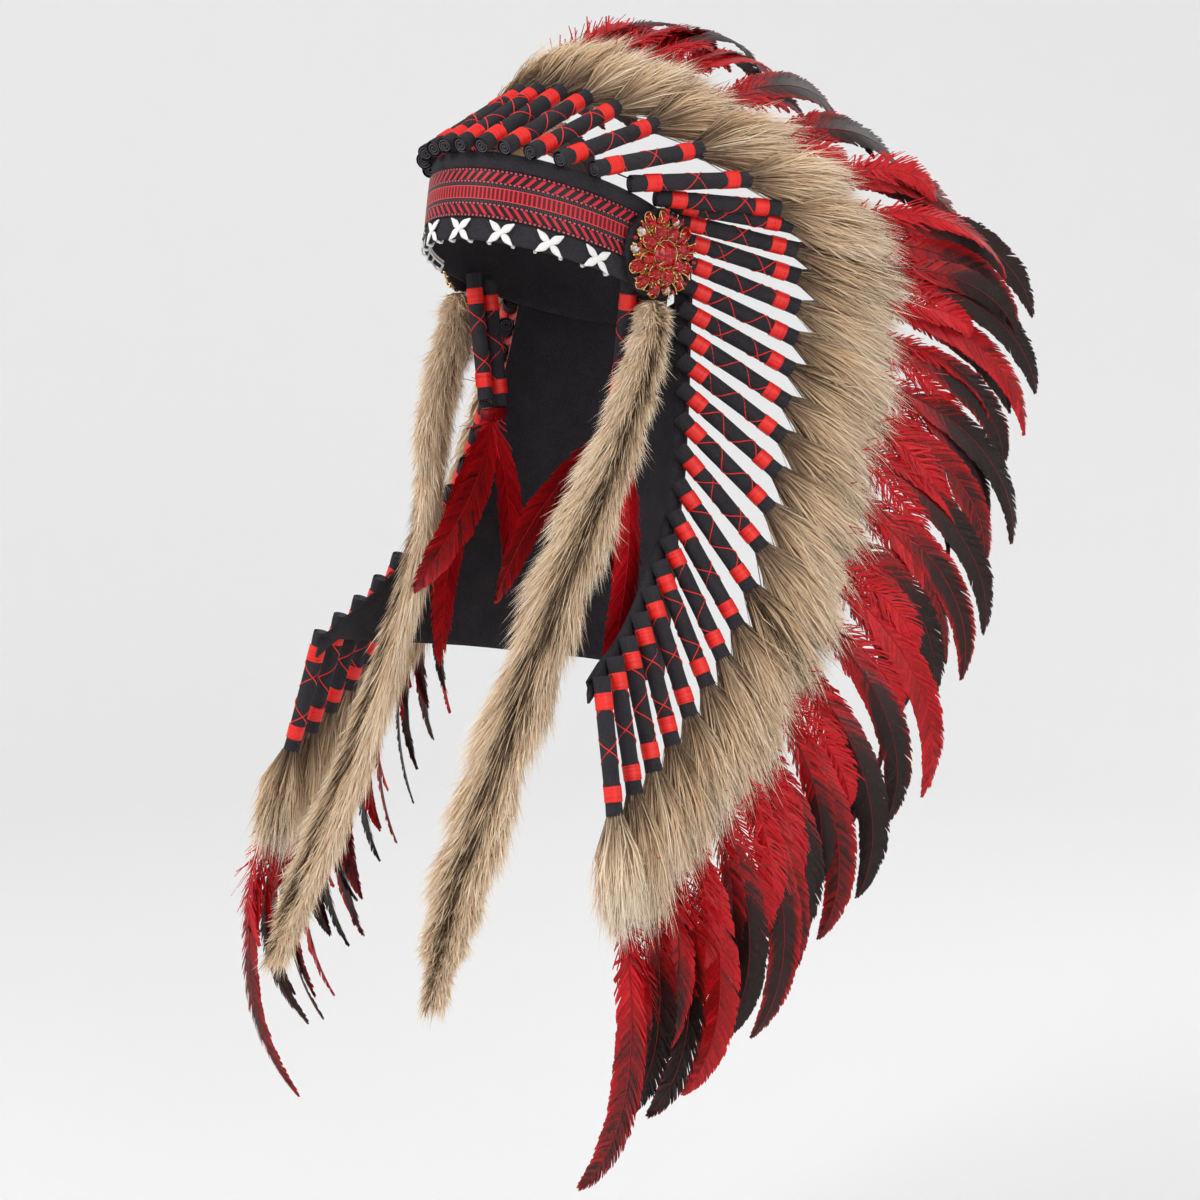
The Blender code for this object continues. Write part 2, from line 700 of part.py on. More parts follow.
def make_strip(name, side, collection, material):
    """A long fur tail: locks stand proud of its edges on every other section."""
    middle, _, _, _ = brooch_frame(1)
    top = Vector((STRIP_OUT, middle.y - STRIP_AHEAD, middle.z - PAD_RADIUS - CLEARANCE))
    columns = [[getattr(row, key) for row in STRIP_ROWS] for key in StripRow._fields]
    columns = [guided(column) for column in columns]
    downs = columns[0]
    rings = []
    for i in range(STRIP_SECTIONS + 1):
        goal = i / STRIP_SECTIONS
        place = 0.0
        while smooth(downs, place) < goal and place < len(STRIP_ROWS) - 1:
            place += STRIP_SEARCH
        down, inward, ahead, width, facing = (smooth(column, place) for column in columns)
        lock = 1 + STRIP_LOCK if i % 2 else 1 - STRIP_NOTCH
        spine = top - Vector((0, STRIP_REACH * ahead, STRIP_DROP * down))
        spine.x = between(STRIP_OUT, STRIP_IN, inward)
        turn = math.radians(facing)
        across = Vector((math.cos(turn), math.sin(turn), 0))
        front = Vector((math.sin(turn), -math.cos(turn), 0))
        half = STRIP_WIDTH / 2 * width * lock
        thick = STRIP_THICKNESS / 2 * min(1, STRIP_THIN_END + width)
        ring = []
        for k in range(STRIP_SIDES):
            angle = math.tau * k / STRIP_SIDES
            spot = spine + across * math.cos(angle) * half + front * math.sin(angle) * thick
            ring.append(to_side(spot, side))
        rings.append(ring)
    add_object(name, loft(rings), collection, material)


def drop_axis(y):
    """The top and the direction of one hanging quill on the wearer's left."""
    inset = BAND_WALL + CLEARANCE + QUILL_DIAMETER / 2
    flats = math.cos(math.pi / BAND_SIDES)
    half_width = BAND_HALF_WIDTH * flats - inset
    half_depth = BAND_HALF_DEPTH * flats - inset
    x = half_width * math.sqrt(1 - (y / half_depth) ** 2)
    top = Vector((x, y, DROP_TUCK - y * math.tan(BAND_TILT)))
    return top, Vector((-math.sin(DROP_LEAN), 0, -math.cos(DROP_LEAN)))


def make_drop(label, side, collection, cutters, felt, feather):
    """Two wrapped quills side by side, and the feathers bound under them."""
    ends = []
    for number, y in enumerate(DROP_QUILLS_Y, 1):
        top, along = drop_axis(y)
        end = top + along * QUILL_LENGTH
        ends.append(end)
        bm = prism(to_side(top, side), to_side(end, side), QUILL_DIAMETER / 2, QUILL_SIDES)
        add_object(f"drop_quill_{label}_{number}", bm, collection, felt)
    low = min(end.z for end in ends) - QUILL_DIAMETER / 2 * math.sin(DROP_LEAN) - CLEARANCE
    middle = (ends[0] + ends[1]) / 2
    half = DROP_BINDING_HALF
    rings = []
    for z in (low, low - DROP_BINDING_HEIGHT):
        corners = ((-1, -1), (1, -1), (1, 1), (-1, 1))
        ring = [Vector((middle.x + half.x * a, middle.y + half.y * b, z)) for a, b in corners]
        rings.append([to_side(point, side) for point in ring])
    name = f"drop_feathers_{label}"
    binding = add_object(name, loft(rings), collection, feather)
    foot = Vector((middle.x, middle.y, low - DROP_BINDING_HEIGHT / 2))
    vanes = []
    for number, row in enumerate(DROP_VANES):
        run = Vector((row.outward, -row.ahead, -row.down)) * DROP_VANE_FALL
        tip = foot + run
        bow = Vector((0, 1, 0)).cross(run).normalized() * row.bow * DROP_VANE_FALL
        wide = run.cross(bow).normalized()
        rings = []
        for ring in VANE_RINGS:
            spot = foot + run * ring.along + bow * math.sin(math.pi * ring.along)
            spread_out = wide * (DROP_VANE_WIDTH / 2 * ring.width)
            flat = wide.cross(run).normalized() * (VANE_THICKNESS / 2)
            diamond = (spot + spread_out, spot + flat, spot - spread_out, spot - flat)
            rings.append([to_side(point, side) for point in diamond])
        rings.append([to_side(tip, side)])
        vanes.append(add_object(f"{name}_vane_{number}", loft(rings), cutters))
    fuse(binding, vanes)


def split(row, groups):
    """Shares the quills of one side out among the groups, in order."""
    count = len(row)
    edges = [round(count * i / groups) for i in range(groups + 1)]
    return [row[start:end] for start, end in zip(edges, edges[1:])]


def main():
    clear_scene()
    parts = new_collection("feathered_headdress")
    cutters = new_collection("joined_pieces")
    felt = principled("black_felt", "18171a", 0.95)
    ribbon = principled("woven_ribbon", "7c1c26", 0.8)
    lace = principled("white_lace", "e8e6e0", 0.8)
    gold = principled("gilt_metal", "c99a4a", 0.3, 1.0)
    fur = principled("tan_fur", "b8946a", 0.9)
    cock_feather = principled("dyed_feather", "a3161c", 0.6)

    rim = Rim()
    row = rim.quills()
    make_band(parts, felt)
    make_ribbon(parts, ribbon)
    make_lace(parts, cutters, lace)
    make_trail(rim, parts, felt)
    make_quills("quill_front", row[:1], parts, cutters, felt)
    make_plumes("plume_front", row[:1], row, 0, parts, cutters, fur)
    for label, side in (("left", 1), ("right", -1)):
        make_pad(f"brooch_pad_{label}", side, parts, felt)
        make_brooch(f"brooch_{label}", side, parts, cutters, gold)
        make_strip(f"fur_strip_{label}", side, parts, fur)
        make_drop(label, side, parts, cutters, felt, cock_feather)
        side_row = [on_side(quill, side) for quill in row]
        for number, group in enumerate(split(side_row[1:], GROUPS_A_SIDE), 1):
            make_quills(f"quills_{label}_{number}", group, parts, cutters, felt)
            make_plumes(f"plumes_{label}_{number}", group, side_row, side, parts, cutters, fur)


main()
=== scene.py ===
"""The looks of a feathered headdress: felt, woven ribbon, wrapped quills, fur and dyed cock feathers."""

import math

import bpy
import numpy as np
from mathutils import Matrix, Vector


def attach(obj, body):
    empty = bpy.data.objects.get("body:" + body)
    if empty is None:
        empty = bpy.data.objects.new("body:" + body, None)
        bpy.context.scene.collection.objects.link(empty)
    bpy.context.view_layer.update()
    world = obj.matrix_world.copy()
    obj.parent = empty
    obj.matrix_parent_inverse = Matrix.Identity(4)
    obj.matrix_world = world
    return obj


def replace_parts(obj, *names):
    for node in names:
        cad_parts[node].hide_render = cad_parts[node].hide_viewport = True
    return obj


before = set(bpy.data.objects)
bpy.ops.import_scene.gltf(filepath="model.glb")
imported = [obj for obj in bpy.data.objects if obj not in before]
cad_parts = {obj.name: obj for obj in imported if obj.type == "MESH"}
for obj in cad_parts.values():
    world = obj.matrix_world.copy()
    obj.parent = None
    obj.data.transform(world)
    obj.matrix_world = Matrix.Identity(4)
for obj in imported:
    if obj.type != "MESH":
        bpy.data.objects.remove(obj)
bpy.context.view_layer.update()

# Sizes of the headdress, in metres, the same as the frame's
CLEARANCE = 0.0003
BAND_HALF_WIDTH, BAND_HALF_DEPTH = 0.088, 0.100
BAND_HEIGHT, BAND_WALL, BAND_EDGE_ROUND = 0.065, 0.003, 0.0012
BAND_TILT, BAND_LEAN = math.radians(20), math.radians(10)
RIBBON_WIDTH, RIBBON_THICKNESS, RIBBON_ABOVE_EDGE = 0.036, 0.001, 0.016
RIBBON_END, RIBBON_MEAN_RADIUS = math.radians(92), 0.094
LACE_STEP, LACE_PAIRS = math.radians(22), 3
BROOCH_AT, BROOCH_FACING = math.radians(97), math.radians(80)
BROOCH_HEIGHT_ON_BAND, BROOCH_RADIUS = 0.029, 0.0315
PAD_RADIUS, PAD_THICKNESS = 0.0335, 0.002
CLEAR_STONES = (2, 5, 6, 10)
QUILL_DIAMETER, QUILL_LENGTH, QUILL_GAP = 0.0128, 0.100, 0.0005
QUILL_LEAD, QUILL_SIDE_LEAD = 0.0095, 0.0045
ROLL_TURNS, ROLL_WALL, ROLL_DEPTH = 2.4, 0.0013, 0.006
GROUPS_A_SIDE = 9
TRAIL_DROP, TRAIL_HALF_SPREAD, TRAIL_REACH = 0.272, 0.140, 0.110
# degrees round from the front; drop, flare and ahead as shares of the way to the last quill; spacing in quill
# widths; and the way the quill points: out, back, up
RIM_ROWS = np.array(
    (
        (0, 0, 0, 0, 1.28, 0.00, 0.90, 0.42),
        (33, 0, 0, 0, 1.25, 0.06, 0.92, 0.34),
        (60, 0, 0, 0, 1.05, 0.28, 0.94, 0.15),
        (82, 0, 0, 0, 1.04, 0.48, 0.87, 0.00),
        (100, 0, 0, 0, 1.06, 0.59, 0.79, -0.15),
        (117, 0.09, 0.01, 0, 1.15, 0.62, 0.70, -0.34),
        (117, 0.27, 0.08, 0.03, 1.25, 0.62, 0.57, -0.54),
        (117, 0.47, 0.25, 0.11, 1.28, 0.58, 0.39, -0.70),
        (117, 0.66, 0.47, 0.24, 1.28, 0.51, 0.18, -0.83),
        (117, 0.81, 0.70, 0.50, 1.30, 0.41, 0.02, -0.91),
        (117, 0.92, 0.87, 0.74, 1.32, 0.32, -0.07, -0.95),
        (117, 1, 1, 1, 1.32, 0.23, -0.14, -0.96),
    )
)
RIM_SAMPLES, RIM_CORNERS, BAND_ROWS = 900, 180, 4
TRAIL_WALL, TRAIL_LENGTH, TRAIL_BACK_END = 0.0025, 0.310, 0.085
TRAIL_LAP_ON_BAND, TRAIL_UNDER_QUILL, TRAIL_INSIDE_RIM = 0.012, 0.012, 0.0036
TRAIL_STARTS_AT, TRAIL_HEM = 0.17, 0.010
TUFT_LENGTH, TUFT_THICKNESS = 0.088, 0.034
VANE_WIDTH, VANE_LENGTH_TOP, VANE_LENGTH_BOTTOM = 0.030, 0.235, 0.285
VANE_CURL, VANE_CURL_POWER = math.radians(66), 1.5
VANE_IN_TUFT, DOWN_WIDTH = 0.03, 0.024
VANE_SHINGLE, VANE_INWARD, VANE_TURNED_BY = math.radians(30), 0.35, 0.25
# length and curl of one feather and the next, in turn
VANE_KINDS = ((1, 1), (0.92, 1.02), (1.06, 1), (0.96, 1.03), (1.02, 0.98))
STRIP_DROP, STRIP_REACH, STRIP_OUT, STRIP_IN = 0.478, 0.225, 0.096, 0.068
STRIP_WIDTH, STRIP_THICKNESS, STRIP_AHEAD = 0.050, 0.018, 0.012
# down, inward and ahead as shares of the tail's drop, way in and reach; share of its width; degrees it faces
STRIP_ROWS = np.array(
    (
        (0, 0.0, -0.01, 0.30, 90),
        (0.06, -0.02, 0.0, 0.80, 90),
        (0.2, 0.12, 0.13, 1.0, 80),
        (0.4, 0.75, 0.30, 1.0, 45),
        (0.68, 1.0, 0.62, 1.05, 25),
        (0.9, 0.8, 0.90, 0.9, 15),
        (1, 0.66, 1.0, 0.25, 15),
    )
)
DROP_QUILLS_Y, DROP_TUCK, DROP_LEAN = (0.004, 0.0205), 0.008, math.radians(7)
DROP_BINDING_HEIGHT, DROP_BINDING_HALF, DROP_VANE_FALL = 0.010, (0.006, 0.0145), 0.200

# The studio: camera and sweep, with the photograph's width in its own pixels
PHOTO_WIDTH, PHOTO_PIXELS_A_MM, CAMERA_AWAY = 1200, 1.3, 1.8
FLOOR_LEVEL, FLOOR_RADIUS, FLOOR_BEND = -1.0, 2.4, 1.2

UP = np.array((0.0, 0.0, 1.0))
rng = np.random.default_rng(55)


# The shape of the headdress


def unit(vector):
    return vector / np.linalg.norm(vector, axis=-1, keepdims=True)


def mirrored(points):
    return np.asarray(points) * (-1, 1, 1)


def to_side(points, side):
    return np.asarray(points) if side > 0 else mirrored(points)


def between(start, end, share):
    return start + (end - start) * share


def smooth(values, place):
    """A Catmull-Rom value at place, in steps of a list whose first and last entries only guide it."""
    step = min(max(int(place), 0), len(values) - 4)
    t = place - step
    a, b, c, d = values[step : step + 4]
    return 0.5 * (
        2 * b + (c - a) * t + (2 * a - 5 * b + 4 * c - d) * t * t + (3 * b - a - 3 * c + d) * t**3
    )


def guided(rows):
    """Adds a straight guide before the first row and after the last."""
    return np.vstack((2 * rows[0] - rows[1], rows, 2 * rows[-1] - rows[-2]))


def band_point(angle, height, offset=0.0):
    """Points on the band's outer face, at angles from the front and heights up the wall."""
    angle, height, offset = np.broadcast_arrays(angle, height, offset)
    across, ahead = np.sin(angle), -np.cos(angle)
    outward = unit(np.stack((across / BAND_HALF_WIDTH, ahead / BAND_HALF_DEPTH), -1))
    x = BAND_HALF_WIDTH * across + outward[..., 0] * offset
    y = BAND_HALF_DEPTH * ahead + outward[..., 1] * offset
    z = height * math.cos(BAND_LEAN) - y * math.tan(BAND_TILT)
    return np.stack((x, y + height * math.sin(BAND_LEAN), z), -1)


def rim_point(row):
    """Where a row of the rim table puts a quill's inner end."""
    angle = math.radians(row[0])
    edge = band_point(angle, BAND_HEIGHT)
    edge = edge + (QUILL_SIDE_LEAD * math.sin(angle), -QUILL_LEAD * math.cos(angle), 0)
    edge[2] += QUILL_DIAMETER / 2 + CLEARANCE
    end = np.array((TRAIL_HALF_SPREAD, -TRAIL_REACH, -TRAIL_DROP))
    return between(edge, end, row[[2, 3, 1]])


def above_rim(base, along):
    """How far a rod that starts at base stands above the band's upper rim."""
    seat = QUILL_DIAMETER / 2 + CLEARANCE
    rise = UP - along * along[2]
    size = rise @ rise
    angles = math.pi * np.arange(RIM_CORNERS) / RIM_CORNERS
    corners = np.vstack([band_point(angles, BAND_HEIGHT, offset) for offset in (0, -BAND_WALL)]) - base
    reach = corners @ along
    corners = corners - reach[:, None] * along
    middle = corners @ rise
    spare = middle**2 - size * ((corners**2).sum(1) - seat**2)
    near = (reach > 0) & (reach < QUILL_LENGTH) & (spare > 0)
    return ((-middle[near] - np.sqrt(spare[near])) / size).min()


RIM_POINTS = np.array([rim_point(row) for row in RIM_ROWS])
RIM_POINTS = np.vstack((mirrored(RIM_POINTS[1]), RIM_POINTS, 2 * RIM_POINTS[-1] - RIM_POINTS[-2]))
RIM_AIMS = unit(RIM_ROWS[:, 5:])
RIM_AIMS = np.vstack((mirrored(RIM_AIMS[1]), RIM_AIMS, 2 * RIM_AIMS[-1] - RIM_AIMS[-2]))
RIM_SPACINGS = RIM_ROWS[[1, *range(len(RIM_ROWS)), -1], 4]
RIM_LAST = len(RIM_ROWS) - 1


def rim_at(place):
    """The frame at a place on the quills' line: point, quill direction, direction across, outer face."""
    step = RIM_LAST / RIM_SAMPLES
    along = unit(smooth(RIM_AIMS, place))
    tangent = smooth(RIM_POINTS, place + step) - smooth(RIM_POINTS, place - step)
    across = unit(tangent - along * (tangent @ along))
    return smooth(RIM_POINTS, place), along, across, unit(np.cross(across, along))


def quill_places():
    """Places one quill apart, measured square to the quills."""
    step = RIM_LAST / RIM_SAMPLES
    totals = [0.0]
    for i in range(RIM_SAMPLES):
        move = smooth(RIM_POINTS, (i + 1) * step) - smooth(RIM_POINTS, i * step)
        along = unit(smooth(RIM_AIMS, i * step))
        pitch = (QUILL_DIAMETER + QUILL_GAP) * smooth(RIM_SPACINGS, i * step)
        totals.append(totals[-1] + np.linalg.norm(np.cross(move, along)) / pitch)
    goals = totals[-1] * np.arange(int(totals[-1]) + 1) / int(totals[-1])
    return np.interp(goals, totals, np.arange(RIM_SAMPLES + 1) * step)


def quill_row():
    """The quills of the wearer's left, with the front centre one first: base, along, across, face."""
    row = []
    for number, place in enumerate(quill_places()):
        base, along, across, face = rim_at(place)
        if number == 0:
            along = unit(along * (0, 1, 1))
            across = np.array((1.0, 0.0, 0.0))
            face = np.cross(across, along)
        if place < BAND_ROWS:
            base = base - UP * above_rim(base, along)
        row.append(np.array((base, along, across, face)))
    return row


def brooch_frame(side):
    """The middle of the felt round's back, and the directions out, across and up."""
    out = np.array((math.sin(BROOCH_FACING), -math.cos(BROOCH_FACING), 0))
    across = np.array((-out[1], out[0], 0))
    angles = BROOCH_AT + PAD_RADIUS / BAND_HALF_DEPTH * np.linspace(-1, 1, 17)
    on_ribbon = band_point(angles, RIBBON_ABOVE_EDGE, CLEARANCE + RIBBON_THICKNESS)
    spots = np.vstack((band_point(angles, 0), on_ribbon[angles < RIBBON_END]))
    middle = band_point(BROOCH_AT, BROOCH_HEIGHT_ON_BAND)
    middle = middle + out * ((spots @ out).max() + CLEARANCE - middle @ out)
    return [to_side(v, side) for v in (middle, out, across)] + [UP]


# Making meshes


class Piece:
    """Gathers the points and faces of one piece, with a run and a tone at each point for its finish."""

    def __init__(self, name):
        self.name = name
        self.points, self.faces, self.runs, self.tones, self.maps = [], [], [], [], []
        self.count = 0

    def add(self, points, faces, run=0.0, tone=0.0, slot=0, flat=False, laid=None):
        """laid gives each point's place on the cloth, in metres, where the finish is woven."""
        points = np.asarray(points, dtype=float).reshape(-1, 3)
        size = len(points)
        self.points.append(points)
        self.runs.append(np.broadcast_to(run, size))
        self.tones.append(np.broadcast_to(tone, size))
        self.maps.append(np.zeros((size, 2)) if laid is None else laid.reshape(-1, 2))
        self.faces.append((np.asarray(faces) + self.count, slot, flat))
        self.count += size

    def make(self, slot_name, *materials):
        points = np.vstack(self.points)
        mesh = bpy.data.meshes.new(self.name)
        mesh.vertices.add(len(points))
        mesh.vertices.foreach_set("co", points.ravel())
        corners = np.concatenate([faces.ravel() for faces, _, _ in self.faces])
        sizes = np.concatenate([np.full(len(faces), faces.shape[1]) for faces, _, _ in self.faces])
        slots = np.concatenate([np.full(len(faces), slot) for faces, slot, _ in self.faces])
        flats = np.concatenate([np.full(len(faces), flat) for faces, _, flat in self.faces])
        mesh.loops.add(len(corners))
        mesh.loops.foreach_set("vertex_index", corners.astype(np.int32))
        mesh.polygons.add(len(sizes))
        mesh.polygons.foreach_set("loop_start", (np.cumsum(sizes) - sizes).astype(np.int32))
        mesh.polygons.foreach_set("material_index", slots.astype(np.int32))
        mesh.polygons.foreach_set("use_smooth", ~flats)
        mesh.update(calc_edges=True)
        for name, values in (("run", self.runs), ("tone", self.tones)):
            layer = mesh.attributes.new(name, "FLOAT", "POINT")
            layer.data.foreach_set("value", np.concatenate(values).astype(np.float32))
        laid = mesh.uv_layers.new(name="laid")
        laid.data.foreach_set("uv", np.vstack(self.maps)[corners].ravel().astype(np.float32))
        for material in materials:
            mesh.materials.append(material)
        piece = bpy.data.objects.new(self.name, mesh)
        bpy.context.scene.collection.objects.link(piece)
        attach(piece, "root")
        return piece


def grid_faces(rows, columns, closed=False):
    """Four-sided faces over rows of points; closed joins the last column to the first."""
    i, j = np.meshgrid(np.arange(rows - 1), np.arange(columns - (not closed)), indexing="ij")
    after = (j + 1) % columns
    near, far = i * columns, (i + 1) * columns
    return np.stack((near + j, near + after, far + after, far + j), -1).reshape(-1, 4)


def add_grid(piece, points, closed=False, **finish):
    """points has rows, columns and the three directions."""
    rows, columns = points.shape[:2]
    piece.add(points, grid_faces(rows, columns, closed), **finish)


def add_sheet(piece, face, back, laid=None):
    """A sheet of cloth with a face, a back and turned edges, closed all round."""
    rows, columns = face.shape[:2]
    block = np.concatenate((face, back[:, ::-1]), axis=1)
    j = np.arange(columns - 1)
    end = np.stack((j, 2 * columns - 1 - j, 2 * columns - 2 - j, j + 1), -1)
    last = (rows - 1) * 2 * columns + end[:, ::-1]
    faces = np.vstack((grid_faces(rows, 2 * columns, closed=True), end, last))
    if laid is not None:
        laid = np.concatenate((laid, laid[:, ::-1]), axis=1)
    piece.add(block, faces, laid=laid)


def frames_along(line, hint):
    """Two directions square to a line of points and to each other; the first stays near hint."""
    tangent = unit(np.gradient(line, axis=0))
    first = hint - tangent * (tangent * hint).sum(-1, keepdims=True)
    first = unit(first)
    return first, np.cross(tangent, first)


def add_tube(piece, line, radius, sides, hint=(0.31, 0.17, 0.93), **finish):
    """A round thread, wire or shaft along a line of points."""
    line = np.asarray(line, dtype=float)
    first, second = frames_along(line, np.asarray(hint, dtype=float))
    turn = math.tau * np.arange(sides) / sides
    ring = first[:, None] * np.cos(turn)[:, None] + second[:, None] * np.sin(turn)[:, None]
    radius = np.broadcast_to(radius, len(line))[:, None, None]
    for key in ("run", "tone"):
        if np.ndim(finish.get(key, 0)):
            finish[key] = np.repeat(finish[key], sides)
    add_grid(piece, line[:, None] + ring * radius, closed=True, **finish)


def add_hairs(piece, lines, widths, runs, tones):
    """Tapered flat hairs. lines: hair, point, direction. The last point is the tip."""
    count, steps = lines.shape[:2]
    tangent = np.gradient(lines, axis=1)
    sideways = unit(np.cross(tangent, rng.normal(size=(count, 1, 3)))) * widths[..., None] / 2
    pairs = np.stack((lines - sideways, lines + sideways), axis=2)[:, :-1]
    points = np.concatenate((pairs.reshape(count, -1, 3), lines[:, -1:]), axis=1)
    size = 2 * steps - 1
    start = (np.arange(count) * size)[:, None]
    pair = np.arange(steps - 2) * 2
    quads = np.stack((pair, pair + 1, pair + 3, pair + 2), -1)
    quads = (start[:, :, None] + quads[None]).reshape(-1, 4)
    tips = start + (2 * steps - 4, 2 * steps - 3, 2 * steps - 2)
    run = np.concatenate((np.repeat(runs[:, :-1], 2, axis=1), runs[:, -1:]), axis=1)
    tone = np.repeat(tones, size)
    first = len(piece.points)
    piece.add(points, quads, run=run.ravel(), tone=tone)
    base = piece.count - len(piece.points[first])
    piece.faces.append((tips + base, 0, False))


# Finishes


def colour(code):
    """A linear colour from an sRGB colour written as six hex digits."""
    channels = [int(code[i : i + 2], 16) / 255 for i in (0, 2, 4)]
    return (*(c / 12.92 if c <= 0.04045 else ((c + 0.055) / 1.055) ** 2.4 for c in channels), 1)


def per(millimetres):
    """The scale at which a pattern repeats once in so many millimetres."""
    return 1000 / millimetres


def join(node, inputs):
    """Sets a node's inputs, or links them where the value is another node's output."""
    for name, value in inputs.items():
        if isinstance(value, bpy.types.NodeSocket):
            node.id_data.links.new(value, node.inputs[name])
        else:
            node.inputs[name].default_value = value


def put(material, kind, inputs, output=0, stops=(), **settings):
    """Adds a node with its settings, colour stops and links, and gives the output that is asked for."""
    node = material.node_tree.nodes.new("ShaderNode" + kind)
    for name, value in settings.items():
        setattr(node, name, value)
    for number, (place, code) in enumerate(stops):
        elements = node.color_ramp.elements
        element = elements[number] if number < 2 else elements.new(place)
        element.position, element.color = place, colour(code)
    join(node, inputs)
    return node.outputs[output]


def finish(name):
    material = bpy.data.materials.new(name)
    material.use_nodes = True
    return material, material.node_tree.nodes["Principled BSDF"]


def needled_felt():
    """Wool felt, dyed black and needled: matted fibres scatter the light, with lint, and a painted highlight
    in lighter grey on the rims of the rolled ends.
    """
    felt, shader = finish("black_needled_wool_felt")
    place = put(felt, "TexCoord", {}, "Object")
    fibres = put(felt, "TexNoise", {"Vector": place, "Scale": per(1.1), "Detail": 4.0, "Distortion": 1.6})
    patches = put(felt, "TexNoise", {"Vector": place, "Scale": per(18), "Detail": 3.0})
    lint = put(felt, "TexVoronoi", {"Vector": place, "Scale": per(3.2)})
    base = put(felt, "ValToRGB", {"Fac": fibres}, stops=((0.3, "141315"), (0.7, "363338")))
    share = put(felt, "Math", {0: patches, 1: 0.45}, operation="MULTIPLY")
    base = put(felt, "Mix", {0: share, 6: base, 7: colour("48444a")}, 2, data_type="RGBA")
    # The tone attribute marks the cut rims of the rolled ends, which are painted lighter grey: a painted
    # highlight.
    cut = put(felt, "Attribute", {}, "Fac", attribute_name="tone")
    base = put(felt, "Mix", {0: cut, 6: base, 7: colour("6e6a70")}, 2, data_type="RGBA")
    speck = put(felt, "Math", {0: lint, 1: 0.07}, operation="LESS_THAN")
    share = put(felt, "Math", {0: speck, 1: 0.4}, operation="MULTIPLY")
    base = put(felt, "Mix", {0: share, 6: base, 7: colour("6a666c")}, 2, data_type="RGBA")
    relief = put(felt, "Bump", {"Height": fibres, "Strength": 0.7, "Distance": 0.0007})
    join(shader, {"Base Color": base, "Normal": relief, "Roughness": 0.95, "Specular IOR Level": 0.2})
    join(shader, {"Sheen Weight": 0.12, "Sheen Roughness": 0.5, "Sheen Tint": colour("5a565c")})
    return felt


# Woven lanes from the ribbon's middle outward, in mm: low, high, lean of the bars, pitch, share, colour
RIBBON_LANES = (
    (0.0, 4.0, 0.0, 3.5, 0.4, "e2303c"),
    (4.0, 4.7, 0.0, 3.5, 1.0, "ea4c56"),
    (5.2, 7.0, 0.0, 1.7, 0.4, "4c484c"),
    (7.4, 8.5, 0.0, 3.5, 0.5, "e8606a"),
    (8.8, 15.6, 0.9, 7.0, 0.42, "d8283a"),
    (16.0, 17.3, 0.0, 3.5, 0.5, "e8606a"),
)


def woven_ribbon():
    """Jacquard ribbon: red rayon floats stand 0.4 mm proud of black cotton, as bars, strokes and dots."""
    ribbon, shader = finish("red_and_black_jacquard_ribbon")
    laid = put(ribbon, "UVMap", {}, uv_map="laid")
    along = put(ribbon, "SeparateXYZ", {"Vector": laid}, "X")
    height = put(ribbon, "Math", {0: along.node.outputs["Y"], 1: RIBBON_WIDTH / 2}, operation="SUBTRACT")
    height = put(ribbon, "Math", {0: height}, operation="ABSOLUTE")
    ladder = put(ribbon, "Math", {0: height, 1: 0.0042}, operation="LESS_THAN")
    woven = put(ribbon, "Mix", {0: ladder, 6: colour("151013"), 7: colour("6a0c15")}, 2, data_type="RGBA")
    floats = ladder
    for low, high, lean, pitch, share, code in RIBBON_LANES:
        inside = {0: height, 1: (low + high) / 2000, 2: (high - low) / 2000}
        inside = put(ribbon, "Math", inside, operation="COMPARE")
        bars = put(ribbon, "Math", {0: height, 1: -lean, 2: along}, operation="MULTIPLY_ADD")
        bars = put(ribbon, "Math", {0: bars, 1: pitch / 1000, 2: 0.0}, operation="WRAP")
        bars = put(ribbon, "Math", {0: bars, 1: pitch * share / 1000}, operation="LESS_THAN")
        bars = put(ribbon, "Math", {0: bars, 1: inside}, operation="MULTIPLY")
        woven = put(ribbon, "Mix", {0: bars, 6: woven, 7: colour(code)}, 2, data_type="RGBA")
        floats = put(ribbon, "Math", {0: floats, 1: bars}, operation="ADD")
    strands = put(ribbon, "TexNoise", {"Vector": laid, "Scale": per(0.5), "Detail": 2.0})
    shade = put(ribbon, "ValToRGB", {"Fac": strands}, stops=((0.3, "b4b4b4"), (0.6, "ffffff")))
    woven = put(ribbon, "Mix", {0: 1.0, 6: woven, 7: shade}, 2, data_type="RGBA", blend_type="MULTIPLY")
    relief = put(ribbon, "Bump", {"Height": floats, "Strength": 0.6, "Distance": 0.0004})
    join(shader, {"Base Color": woven, "Normal": relief, "Roughness": 0.5, "Specular IOR Level": 0.3})
    return ribbon


def cotton_lace():
    """White cotton lacing, plaited flat: strands 0.7 mm wide give it a soft, matt grain."""
    lace, shader = finish("white_plaited_cotton")
    place = put(lace, "TexCoord", {}, "Object")
    strands = put(lace, "TexNoise", {"Vector": place, "Scale": per(0.7), "Detail": 3.0})
    tint = put(lace, "ValToRGB", {"Fac": strands}, stops=((0.25, "d6d4d0"), (0.65, "fbfaf8")))
    relief = put(lace, "Bump", {"Height": strands, "Strength": 0.5, "Distance": 0.0004})
    join(shader, {"Base Color": tint, "Normal": relief, "Roughness": 0.85})
    return lace


